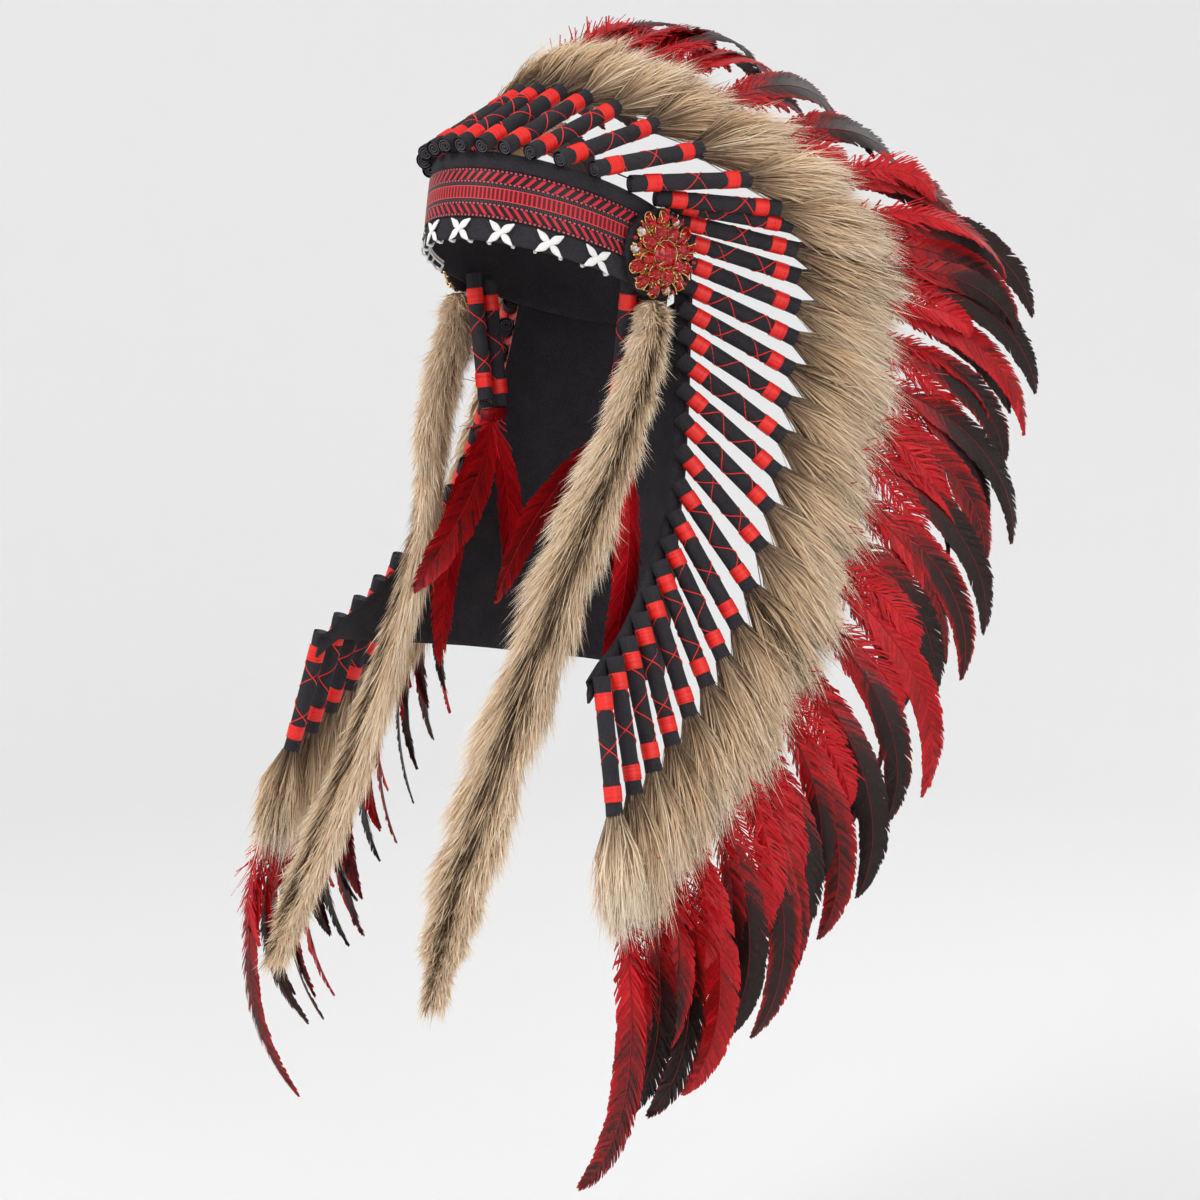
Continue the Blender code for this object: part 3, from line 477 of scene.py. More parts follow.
def rayon_thread():
    """Bright red rayon thread, wound in turns 1.4 mm wide: silky, with light along each turn's crown."""
    thread, shader = finish("red_wound_rayon_thread")
    place = put(thread, "TexCoord", {}, "Object")
    tone = put(thread, "Attribute", {}, "Fac", attribute_name="tone")
    fibres = put(thread, "TexNoise", {"Vector": place, "Scale": per(1.4), "Detail": 3.0})
    share = put(thread, "Math", {0: tone, 1: 0.8, 2: fibres}, operation="MULTIPLY_ADD")
    red = put(thread, "ValToRGB", {"Fac": share}, stops=((0.35, "a0060c"), (0.7, "de1216"), (1.0, "f02a20")))
    relief = put(thread, "Bump", {"Height": fibres, "Strength": 0.3, "Distance": 0.0003})
    join(shader, {"Base Color": red, "Normal": relief, "Roughness": 0.42, "Specular IOR Level": 0.4})
    return thread


def long_pile_fur():
    """Acrylic long-pile fur, dyed in bands: grey-brown roots, sandy pile, pale tips, dark guard hairs."""
    fur, shader = finish("banded_acrylic_long_pile")
    run = put(fur, "Attribute", {}, "Fac", attribute_name="run")
    tone = put(fur, "Attribute", {}, "Fac", attribute_name="tone")
    stops = ((0.0, "5c4c42"), (0.2, "a08266"), (0.5, "e8c8a2"), (1.0, "fff2de"))
    pile = put(fur, "ValToRGB", {"Fac": run}, stops=stops)
    dark = put(fur, "ValToRGB", {"Fac": run}, stops=((0.0, "2a221d"), (0.5, "54402f"), (1.0, "6e5642")))
    pale = put(fur, "ValToRGB", {"Fac": run}, stops=((0.0, "b09678"), (0.5, "fae6c8"), (1.0, "fffaf0")))
    share = put(fur, "ValToRGB", {"Fac": tone}, stops=((0.12, "ffffff"), (0.3, "000000")))
    mixed = put(fur, "Mix", {0: share, 6: pile, 7: dark}, 2, data_type="RGBA")
    share = put(fur, "ValToRGB", {"Fac": tone}, stops=((0.6, "000000"), (0.9, "ffffff")))
    mixed = put(fur, "Mix", {0: share, 6: mixed, 7: pale}, 2, data_type="RGBA")
    join(shader, {"Base Color": mixed, "Roughness": 0.6, "Specular IOR Level": 0.25})
    return fur


def dyed_feather():
    """Cock's tail feather, dyed over its own bronze-black: red where the horn is pale, with an oily gloss and
    paler streaks of painted sheen on the dark parts.
    """
    feather, shader = finish("red_dyed_cock_feather")
    tone = put(feather, "Attribute", {}, "Fac", attribute_name="tone")
    place = put(feather, "TexCoord", {}, "Object")
    streaks = put(feather, "TexNoise", {"Vector": place, "Scale": per(2.6), "Detail": 3.0})
    wander = put(feather, "Math", {0: streaks, 1: 0.4, 2: -0.2}, operation="MULTIPLY_ADD")
    shade = put(feather, "Math", {0: tone, 1: wander}, operation="ADD")
    stops = ((0.0, "cc0f1c"), (0.16, "a8060e"), (0.4, "74060b"), (0.58, "340d0c"), (1.0, "160c0b"))
    dyed = put(feather, "ValToRGB", {"Fac": shade}, stops=stops)
    # The dark parts' own near-black, with paler streaks that are painted sheen.
    stops = ((0.4, "1a100e"), (0.56, "2c1c18"), (0.72, "4a3a32"))
    bronze_and_sheen = put(feather, "ValToRGB", {"Fac": streaks}, stops=stops)
    share = put(feather, "ValToRGB", {"Fac": shade}, stops=((0.6, "000000"), (1.0, "9a9a9a")))
    mixed = put(feather, "Mix", {0: share, 6: dyed, 7: bronze_and_sheen}, 2, data_type="RGBA")
    join(shader, {"Base Color": mixed, "Roughness": 0.45, "Specular IOR Level": 0.3})
    return feather


def gilt_casting():
    """Gold-plated zinc casting, polished: warm and bright on its crowns, worn paler in patches 4 mm wide."""
    gilt, shader = finish("gold_plated_zinc_casting")
    place = put(gilt, "TexCoord", {}, "Object")
    wear = put(gilt, "TexNoise", {"Vector": place, "Scale": per(4), "Detail": 3.0})
    gold = put(gilt, "ValToRGB", {"Fac": wear}, stops=((0.3, "d29a3e"), (0.7, "fbe0a0")))
    relief = put(gilt, "Bump", {"Height": wear, "Strength": 0.2, "Distance": 0.0002})
    join(shader, {"Base Color": gold, "Normal": relief, "Metallic": 1.0, "Roughness": 0.2})
    return gilt


def cut_glass(name, deep, bright):
    """Foil-backed cut glass: bright spots in cells 2.4 mm wide are painted glints of the backing's shine,
    under sharp glints off the facets.
    """
    glass, shader = finish(name)
    place = put(glass, "TexCoord", {}, "Object")
    # The backing's shine is painted in: the bright colour at the middle of each cell is a painted glint.
    painted_glints = put(glass, "TexVoronoi", {"Vector": place, "Scale": per(2.4)})
    tint = put(glass, "ValToRGB", {"Fac": painted_glints}, stops=((0.1, bright), (0.55, deep)))
    join(shader, {"Base Color": tint, "Roughness": 0.06, "IOR": 1.45})
    join(shader, {"Coat Weight": 0.15, "Coat Roughness": 0.02})
    return glass


FELT = needled_felt()
RIBBON = woven_ribbon()
LACE = cotton_lace()
THREAD = rayon_thread()
FUR = long_pile_fur()
FEATHER = dyed_feather()
GILT = gilt_casting()
RED_GLASS = cut_glass("red_foiled_cut_glass", "8a0008", "f4121e")
CLEAR_GLASS = cut_glass("clear_foiled_cut_glass", "c4b2c6", "ffffff")


# The band, its ribbon and lacing


def make_band():
    """The felt ring, with rounded edges, and slight waves where no ribbon holds it."""
    piece = Piece("felt_band")
    angles = np.linspace(0, math.tau, 193)[:-1]
    low, high, rounding = BAND_EDGE_ROUND, BAND_HEIGHT - BAND_EDGE_ROUND, np.linspace(0.25, 0.75, 3)
    profile = [(height, 0.0) for height in np.linspace(low, high, 14)]
    profile += [(high + low * math.sin(math.pi * turn), -BAND_WALL * turn) for turn in rounding]
    profile += [(height, -BAND_WALL) for height in np.linspace(high, low, 14)]
    profile += [(low - low * math.sin(math.pi * turn), -BAND_WALL * turn) for turn in rounding[::-1]]
    rows = []
    for height, offset in profile:
        ease = math.sin(math.pi * height / BAND_HEIGHT) * (height > RIBBON_ABOVE_EDGE + RIBBON_WIDTH)
        wave = 0.0004 * np.sin(angles * 7 + 1.3) + 0.0003 * np.sin(angles * 17 + height * 90)
        rows.append(band_point(angles, height, offset - 0.0002 + wave * ease))
    rows = np.array(rows)
    add_grid(piece, np.concatenate((rows, rows[:1])), closed=True)
    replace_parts(piece.make("felt", FELT), "head_band")


def make_ribbon():
    """The woven ribbon round the band's front, slightly swollen between its edges."""
    piece = Piece("woven_ribbon")
    angles = np.linspace(-RIBBON_END, RIBBON_END, 181)
    heights = np.linspace(0, RIBBON_WIDTH, 9)
    grid_angle, grid_height = np.meshgrid(angles, heights)
    swell = 0.0002 * np.sin(math.pi * grid_height / RIBBON_WIDTH)
    above = RIBBON_ABOVE_EDGE + grid_height
    top = band_point(grid_angle, above, CLEARANCE + RIBBON_THICKNESS * 0.8 + swell)
    bottom = band_point(grid_angle, above, CLEARANCE)
    laid = np.stack((grid_angle * RIBBON_MEAN_RADIUS, grid_height), -1)
    add_sheet(piece, top, bottom, laid)
    ribbon = piece.make("ribbon", RIBBON)
    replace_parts(ribbon, "ribbon_trim")
    return ribbon


def make_lace():
    """Flat lacing crossed over the band's lower edge, broad in mid-strand, with a running stitch inside."""
    piece = Piece("cotton_lacing")
    half_run, low, high = 0.0102 / BAND_HALF_DEPTH, -0.0012, 0.0146
    turns = math.tau * np.arange(8) / 8
    for number in range(-LACE_PAIRS, LACE_PAIRS + 1):
        middle = number * LACE_STEP
        for way in (-1, 1):
            t = np.linspace(-1, 1, 19)[:, None]
            breadth = 0.0005 + 0.0028 * np.sqrt(1 - t**2) * (0.72 - 0.28 * np.cos(math.tau * t))
            angle = middle + way * t * half_run + way * breadth * np.cos(turns) * 0.6 / BAND_HALF_DEPTH
            height = between(low, high, (t + 1) / 2) - breadth * np.cos(turns) * 0.8
            lift = CLEARANCE + 0.0008 + 0.0009 * np.cos(t * math.pi / 2) * (way > 0) + 0.0007 * np.sin(turns)
            add_grid(piece, band_point(angle, height, lift), closed=True)
            foot = middle - way * half_run
            for strand in (-0.4, 0.4):
                bend = np.linspace(0, 1, 9)
                offset = between(0.0011, -BAND_WALL - 0.0012, bend)
                under = np.interp(bend, (0, 0.75, 1), (low, low - 0.0003, 0.003))
                spot = foot + strand * 0.0011 / BAND_HALF_DEPTH
                add_tube(piece, band_point(np.full(9, spot), under, offset), 0.00085, 6)
    reach = LACE_STEP * LACE_PAIRS + half_run
    angles = np.linspace(-reach, reach, 121)
    for row in (0.0030, 0.0054):
        add_tube(piece, band_point(angles, row, -BAND_WALL - 0.0013), 0.0009, 6)
    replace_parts(piece.make("lace", LACE), "edge_lace")


# The brooches


def add_stone(piece, foot, out, across, radius, height, sides, slot, stretch=1.0):
    """A cut stone: girdle, crown of two rings of facets and a flat table."""
    up = np.cross(out, across)
    rings = []
    for share, rise, turn in ((0.86, 0.0, 0), (1.0, 0.32, 0), (0.82, 0.68, 0.5), (0.52, 1.0, 0)):
        angles = math.tau * (np.arange(sides) + turn) / sides
        flat = across * np.cos(angles)[:, None] * stretch + up * np.sin(angles)[:, None]
        rings.append(foot + flat * radius * share + out * height * rise)
    rings.append(np.repeat((foot + out * height)[None], sides, axis=0))
    add_grid(piece, np.array(rings), closed=True, slot=slot, flat=True)


def add_bead(piece, middle, radius):
    """A small gilt ball."""
    turns = np.linspace(0, math.pi, 5)
    angles = math.tau * np.arange(6) / 6
    shell = np.stack(
        [
            np.sin(turns)[:, None] * np.cos(angles),
            np.sin(turns)[:, None] * np.sin(angles),
            np.cos(turns)[:, None] * np.ones(6),
        ],
        -1,
    )
    add_grid(piece, middle + shell * radius, closed=True)


def make_brooch(label, side):
    """Gilt wire loops and prongs that carry a main stone, two rings of drops and small clear stones."""
    middle, out, across, up = brooch_frame(side)
    back = middle + out * (PAD_THICKNESS + CLEARANCE)
    metal = Piece(f"gilt_brooch_{label}")
    stones = Piece(f"brooch_stones_{label}")
    local = np.random.default_rng(7)

    def spot(radius, angle, lift):
        radius = radius * 1.1
        return back + across * radius * math.cos(angle) + up * radius * math.sin(angle) + out * lift

    def setting(radius, angle, lift, size, height, sides, slot, stretch):
        foot = spot(radius, angle, lift)
        ahead = across * math.cos(angle) + up * math.sin(angle)
        lean = unit(out + ahead * 0.25 * radius / BROOCH_RADIUS)
        ahead = unit(ahead - lean * (ahead @ lean))
        add_stone(stones, foot, lean, ahead, size, height, sides, slot, stretch)
        side_way = np.cross(lean, ahead)
        turns = np.linspace(0, math.tau, 15)
        ring = ahead * np.cos(turns)[:, None] * stretch + side_way * np.sin(turns)[:, None]
        loop = foot + lean * height * 0.25 + ring * size * 1.08
        add_tube(metal, loop, 0.00045, 5, hint=lean)
        for k in range(4):
            turn = math.tau * (k + 0.5) / 4
            edge = ahead * math.cos(turn) * stretch + side_way * math.sin(turn)
            start = foot + edge * size * 1.1
            tip = foot + edge * size * 0.72 + lean * height * 0.95
            line = np.array((start - lean * 0.001, start + lean * height * 0.55, tip))
            add_tube(metal, line, (0.0006, 0.0006, 0.0004), 5)

    plate = []
    for radius, lift in ((0, 0.0), (0.72, 0.0), (0.78, 0.0012), (0.7, 0.0026), (0, 0.0030)):
        angles = math.tau * np.arange(40) / 40
        scallop = 1 + 0.05 * np.cos(angles * 8)
        flat = across * np.cos(angles)[:, None] + up * np.sin(angles)[:, None]
        plate.append(back + flat * (BROOCH_RADIUS * radius * scallop)[:, None] + out * lift)
    add_grid(metal, np.array(plate), closed=True)
    setting(0.0, 0.0, 0.0062, 0.0098, 0.0062, 12, 0, 1.12)
    for i in range(8):
        angle = math.tau * i / 8 + 0.2
        setting(0.0152, angle, 0.0046, 0.0052, 0.0050, 8, 0, 1.25)
    for i in range(13):
        angle = math.tau * i / 13 + 0.06
        size, slot, stretch = (0.0034, 1, 1.0) if i in CLEAR_STONES else (0.0046, 0, 1.4)
        setting(0.0246, angle, 0.0022 + 0.0012 * (i % 2), size, 0.0038, 8, slot, stretch)
        stem = np.array([spot(r, angle, h) for r, h in ((0.008, 0.003), (0.017, 0.0044), (0.024, 0.0028))])
        add_tube(metal, stem, 0.0006, 5)
    for i in range(44):
        angle = math.tau * i / 44 + local.uniform(-0.06, 0.06)
        radius = local.uniform(0.0195, 0.0205) if i % 2 else local.uniform(0.0286, 0.0298)
        lift = local.uniform(0.003, 0.007)
        add_bead(metal, spot(radius, angle, lift), 0.0010)
        stem = ((0.62, 0.003), (0.85, lift + 0.001), (1, lift))
        add_tube(metal, [spot(radius * reach, angle, rise) for reach, rise in stem], 0.0005, 5)
    for i in range(110):
        angle = math.tau * i * 0.382 + local.uniform(-0.08, 0.08)
        radius = local.uniform(0.010, 0.0295)
        lift = local.uniform(0.0062, 0.0088) if radius < 0.019 else local.uniform(0.0045, 0.0065)
        turned = spot(radius, angle, lift)
        add_stone(stones, turned, out, across, local.uniform(0.0012, 0.0021), 0.0018, 6, 0)
        add_tube(metal, np.array((turned - out * 0.0035, turned - out * 0.001, turned)), 0.0007, 5)
    metal_piece = metal.make("brooch", GILT)
    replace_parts(metal_piece, f"brooch_{label}")
    stones.make("brooch", RED_GLASS, CLEAR_GLASS)


def make_pad(label, side):
    """The black felt round behind a brooch, with a fringe of loose fibre."""
    middle, out, across, up = brooch_frame(side)
    piece = Piece(f"felt_round_{label}")
    angles = math.tau * np.arange(64) / 64
    rim = 1 + 0.012 * np.sin(angles * 5 + 0.6) + 0.006 * np.sin(angles * 13)
    flat = across * np.cos(angles)[:, None] + up * np.sin(angles)[:, None]
    rings = []
    for share, lift in ((0, 0), (0.97, 0), (1, 0.3), (1, 0.7), (0.97, 1), (0, 1)):
        rings.append(middle + flat * (PAD_RADIUS * share * rim)[:, None] + out * PAD_THICKNESS * lift)
    add_grid(piece, np.array(rings), closed=True)
    count = 1500
    turn = rng.uniform(0, math.tau, count)
    edge = across * np.cos(turn)[:, None] + up * np.sin(turn)[:, None]
    root = middle + edge * PAD_RADIUS * 0.97 + out * PAD_THICKNESS * rng.uniform(0.2, 0.9, (count, 1))
    way = unit(edge + out * rng.uniform(-0.1, 0.5, (count, 1)) + rng.normal(0, 0.45, (count, 3)))
    length = rng.uniform(0.002, 0.006, (count, 1))
    lines = root[:, None] + way[:, None] * length[:, None] * np.linspace(0, 1, 3)[None, :, None]
    lines[:, 2] += rng.normal(0, 0.0012, (count, 3))
    widths = np.broadcast_to((0.00022, 0.00018, 0.0), (count, 3))
    add_hairs(piece, lines, widths, np.zeros((count, 3)), np.zeros(count))
    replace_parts(piece.make("felt", FELT), f"brooch_pad_{label}")


# The quills


def add_rod(felt, thread, base, along, face):
    """One wrapped quill: rolled felt, a wound thread band near each end and thread crossed between them."""
    across = np.cross(along, face)
    radius = QUILL_DIAMETER / 2 - 0.0003
    start_turn = rng.uniform(0, math.tau)

    def on_rod(run, turn, offset):
        run, turn, offset = np.broadcast_arrays(run, turn, offset)
        way = across * np.cos(turn)[..., None] + face * np.sin(turn)[..., None]
        return base + along * run[..., None] + way * offset[..., None]

    sides = 18
    turns = start_turn + math.tau * np.arange(sides) / sides
    lap = 0.0005 * (np.arange(sides) / sides)
    runs = np.array((0.0, 0.0006, 0.004, 0.009, 0.011, 0.024, 0.03, 0.05, 0.07, 0.078, 0.090, 0.092, 0.1))
    pinched = (0, 0.006, 0.012, 0.024, 0.030, 0.078, 0.09, 0.1)
    pinch = np.interp(runs, pinched, (0.1, 0.2, -0.4, -0.4, 0, -0.3, -0.3, 0.1))
    shell = on_rod(runs[:, None], turns[None], radius + lap[None] + pinch[:, None] / 1000)
    shell[0] = between(on_rod(0, 0, 0), shell[0], 0.985)
    add_grid(felt, shell, closed=True)
    end = np.repeat(on_rod(runs[-1], 0, 0)[None], sides, axis=0)
    add_grid(felt, np.array((shell[-1], end)), closed=True)
    steps = 52
    wind = np.linspace(0, ROLL_TURNS * math.tau, steps)
    outer = np.linspace(radius, 0.0012, steps)
    turn = start_turn - wind
    section = ((ROLL_DEPTH, 0.1), (0.0004, 0.15), (0.0, 0.5), (0.0004, 0.85), (ROLL_DEPTH, 0.9))
    rows = np.array([on_rod(depth, turn, outer - ROLL_WALL * part) for depth, part in section])
    # The crest of each rolled end's rim gets a high tone, which the felt paints lighter grey: a painted
    # highlight.
    add_grid(felt, rows, tone=np.repeat((0, 0.2, 0.8, 0.2, 0), steps))
    floor = np.repeat(on_rod(ROLL_DEPTH, 0, 0)[None], sides, axis=0)
    add_grid(felt, np.array((on_rod(ROLL_DEPTH, turns, radius), floor)), closed=True)
    sides = 14
    turns = math.tau * np.arange(sides) / sides
    for low, high in ((0.0115, 0.0245), (0.0785, 0.0905)):
        winds = 9
        runs = np.linspace(low, high, 2 * winds + 1)
        rise = np.where(np.arange(2 * winds + 1) % 2, 0.00075, 0.00035)
        rise[[0, -1]] = -0.0006
        tone = np.repeat(rng.uniform(0.2, 1.0, 2 * winds + 1), sides)
        add_grid(thread, on_rod(runs[:, None], turns[None], radius + rise[:, None]), closed=True, tone=tone)
    for way in (-1, 1):
        steps = 26
        share = np.linspace(0, 1, steps)
        turn = start_turn + way * (share * math.tau * 1.75 + 0.4)
        line = on_rod(between(0.0225, 0.0805, share), turn, radius + 0.0002 + 0.0001 * way)
        add_tube(thread, line, 0.00046, 4, hint=along, tone=np.full(steps, 0.75))


def lace_quills(felt, group):
    """The black spacing thread that runs straight and taut through neighbouring quills."""
    for quill, after in zip(group, group[1:]):
        ends = [q[0] + q[1] * 0.0082 for q in (quill, after)]
        share = np.linspace(0, 1, 5)[:, None]
        line = ends[0] + (ends[1] - ends[0]) * share
        add_tube(felt, line, 0.0006, 5)


# Fur


# share of a tuft's length, and its width and thickness there
TUFT_PROFILE = (
    (0, 0.40, 0.42),
    (0.12, 0.72, 0.72),
    (0.35, 1.0, 1.0),
    (0.7, 1.0, 0.9),
    (1.0, 0.72, 0.55),
    (1.15, 0.5, 0.3),
)


def tuft_size(share, column):
    """A tuft's width or thickness, as a share of its greatest, at a share of its length."""
    places = [row[0] for row in TUFT_PROFILE]
    return np.interp(share, places, [row[column] for row in TUFT_PROFILE])


def add_tuft(piece, quill, before, after, side, count):
    """One fur tuft on a quill's outer end: a core and long hairs that gather in locks."""
    base, along, across, face = quill
    root = base + along * (QUILL_LENGTH - 0.004)
    length = TUFT_LENGTH * rng.uniform(1.0, 1.18)
    reach = QUILL_LENGTH + TUFT_LENGTH * 0.6
    middle = base + along * reach
    gaps = [np.linalg.norm(np.cross(q[0] + q[1] * reach - middle, along)) for q in (before, after)]
    half_width = max(0.5 * float(np.mean(gaps)) * 1.22, 0.0155)
    half_thick = TUFT_THICKNESS / 2
    sag = unit(np.array((-0.2 * side, 0.0, -1.0)))
    sag = sag - along * (sag @ along)

    def place(share, reach_out, turn):
        wide = tuft_size(share, 1) * half_width * reach_out * np.cos(turn)
        thick = tuft_size(share, 2) * half_thick * reach_out * np.sin(turn)
        spot = root + along * (share * length)[..., None] + across * wide[..., None] + face * thick[..., None]
        return spot + sag * (0.012 * share**2)[..., None]

    rows = np.linspace(0.02, 0.9, 8)
    turns = math.tau * np.arange(12) / 12
    core = place(rows[:, None] * np.ones(12), 0.55 * np.ones((8, 12)), turns[None] * np.ones((8, 1)))
    run = np.repeat(0.15 + rows * 0.35, 12)
    add_grid(piece, core, closed=True, run=run, tone=0.4)
    locks = 26
    lock_turn = rng.uniform(0, math.tau, locks)
    lock_tip = rng.uniform(0.62, 1.15, locks)
    lock_out = rng.uniform(0.55, 1.05, locks)
    lock_tone = rng.uniform(0.1, 0.9, locks)
    start = rng.uniform(0, 1, count) ** 1.3 * 0.55
    turn = rng.uniform(0, math.tau, count)
    gap = np.abs((turn[:, None] - lock_turn[None] + math.pi) % math.tau - math.pi)
    lock = np.argmin(gap + rng.uniform(0, 0.45, (count, locks)), axis=1)
    tip = np.clip(between(start + rng.uniform(0.35, 0.75, count), lock_tip[lock], 0.45), 0, 1.15)
    shift = (lock_turn[lock] - turn + math.pi) % math.tau - math.pi
    out_tip = between(rng.uniform(0.3, 1.3, count), lock_out[lock], 0.5)
    t = np.linspace(0, 1, 3)[None]
    share = start[:, None] + (tip - start)[:, None] * t
    out = between(rng.uniform(0.35, 0.75, count)[:, None], out_tip[:, None], t**0.7)
    lines = place(share, out, turn[:, None] + shift[:, None] * 0.85 * t)
    wander = rng.normal(0, 1, (count, 1, 3)) * 0.0056
    lines = lines + wander * (t[..., None] ** 1.5)
    lines[:, 1] += rng.normal(0, 0.0014, (count, 3))
    widths = rng.uniform(0.0005, 0.00095, count)[:, None] * np.array((0.8, 1.0, 0.0))
    tones = np.clip(between(rng.uniform(0, 1, count), lock_tone[lock], 0.6) + rng.normal(0, 0.08), 0, 1)
    runs = np.clip(share * 0.45 + t * 0.5, 0, 1)
    add_hairs(piece, lines, widths, runs, tones)


def strip_line(side):
    """Samples of a fur tail: spine, direction down it, direction across, outer face and width."""
    middle = brooch_frame(1)[0]
    top = np.array((STRIP_OUT, middle[1] - STRIP_AHEAD, middle[2] - PAD_RADIUS - CLEARANCE))
    rows = guided(STRIP_ROWS)
    values = np.array([smooth(rows, place) for place in np.linspace(0, len(STRIP_ROWS) - 1, 121)])
    down, inward, ahead, width, facing = values.T
    hang = between(STRIP_OUT, STRIP_IN, inward), top[1] - STRIP_REACH * ahead, top[2] - STRIP_DROP * down
    spine = np.stack(hang, -1)
    turn = np.radians(facing)
    across = np.stack((np.cos(turn), np.sin(turn), 0 * turn), -1)
    front = np.stack((np.sin(turn), -np.cos(turn), 0 * turn), -1)
    spine, across, front = (to_side(v, side) for v in (spine, across, front))
    return down, spine, unit(np.gradient(spine, axis=0)), across, front, width


def make_strip(label, side):
    """A long fur tail: a flat core, and pile that lies down and outward, dark along the spine."""
    piece = Piece(f"fur_tail_{label}")
    down, spine, along, across, front, width = strip_line(side)
    turns = math.tau * np.arange(10) / 10
    core = across[:, None] * np.cos(turns)[:, None] * (0.3 * STRIP_WIDTH * width)[:, None, None]
    core = spine[:, None] + core + front[:, None] * np.sin(turns)[:, None] * 0.3 * STRIP_THICKNESS
    add_grid(piece, core[::4], closed=True, run=0.1, tone=0.25)
    count = 24000
    place = rng.uniform(0, 1, count) ** 0.95
    turn = rng.uniform(0, math.tau, count)

    def sample(values, at):
        at = np.clip(at, 0, 1) * (len(values) - 1)
        low = np.clip(at.astype(int), 0, len(values) - 2)
        share = at - low
        share = share[..., None] if values.ndim > 1 else share
        return values[low] + (values[low + 1] - values[low]) * share

    length = rng.uniform(0.022, 0.044, count) * (0.75 + 0.25 * sample(width, place))
    lock = np.sin(place * 70 + 2.4 * np.cos(turn) + 1.5 * np.sin(place * 23 + turn)) * 0.5 + 0.5
    t = np.linspace(0, 1, 3)[None]
    wide = np.cos(turn)
    thick = np.sin(turn)
    lines = np.zeros((count, 3, 3))
    tail = 0.555
    for step, s in enumerate(t[0]):
        at = place + length * (0.8 * s) / tail
        centre = sample(spine, at) + sample(along, at) * (np.maximum(at - 1, 0) * tail)[:, None]
        spread_out = (0.35 + 0.72 * s**0.75 * (0.68 + 0.55 * lock)) * sample(width, np.minimum(at, 0.985))
        side_reach = STRIP_WIDTH / 2 * spread_out * wide * rng.uniform(0.9, 1.05, count)
        front_reach = STRIP_THICKNESS / 2 * (0.45 + 0.65 * s) * thick
        centre = centre + sample(across, at) * side_reach[:, None]
        lines[:, step] = centre + sample(front, at) * front_reach[:, None]
    lines += rng.normal(0, 0.0024, (count, 1, 3)) * t[..., None]
    lines[:, 2] += rng.normal(0, 0.0022, (count, 3))
    widths = rng.uniform(0.0005, 0.0009, count)[:, None] * np.array((0.8, 1.0, 0.0))
    ridge = np.clip(1 - np.abs(wide) * 1.6, 0, 1) * (thick > 0)
    tones = rng.uniform(0.1, 0.85, count) + 0.2 * np.abs(wide) - 0.6 * ridge * rng.uniform(0.3, 1.3, count)
    tones = np.clip(tones, 0, 1)
    runs = np.clip(t * 0.62 + 0.2 * np.abs(wide)[:, None], 0, 1)
    add_hairs(piece, lines, widths, runs, tones)
    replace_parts(piece.make("fur", FUR), f"fur_strip_{label}")


# Feathers


# shares of a feather's length, and the vane's width there
VANE_PROFILE = ((0, 0.08, 0.2, 0.45, 0.72, 0.9, 1), (0.35, 0.62, 0.85, 1, 0.78, 0.4, 0.06))


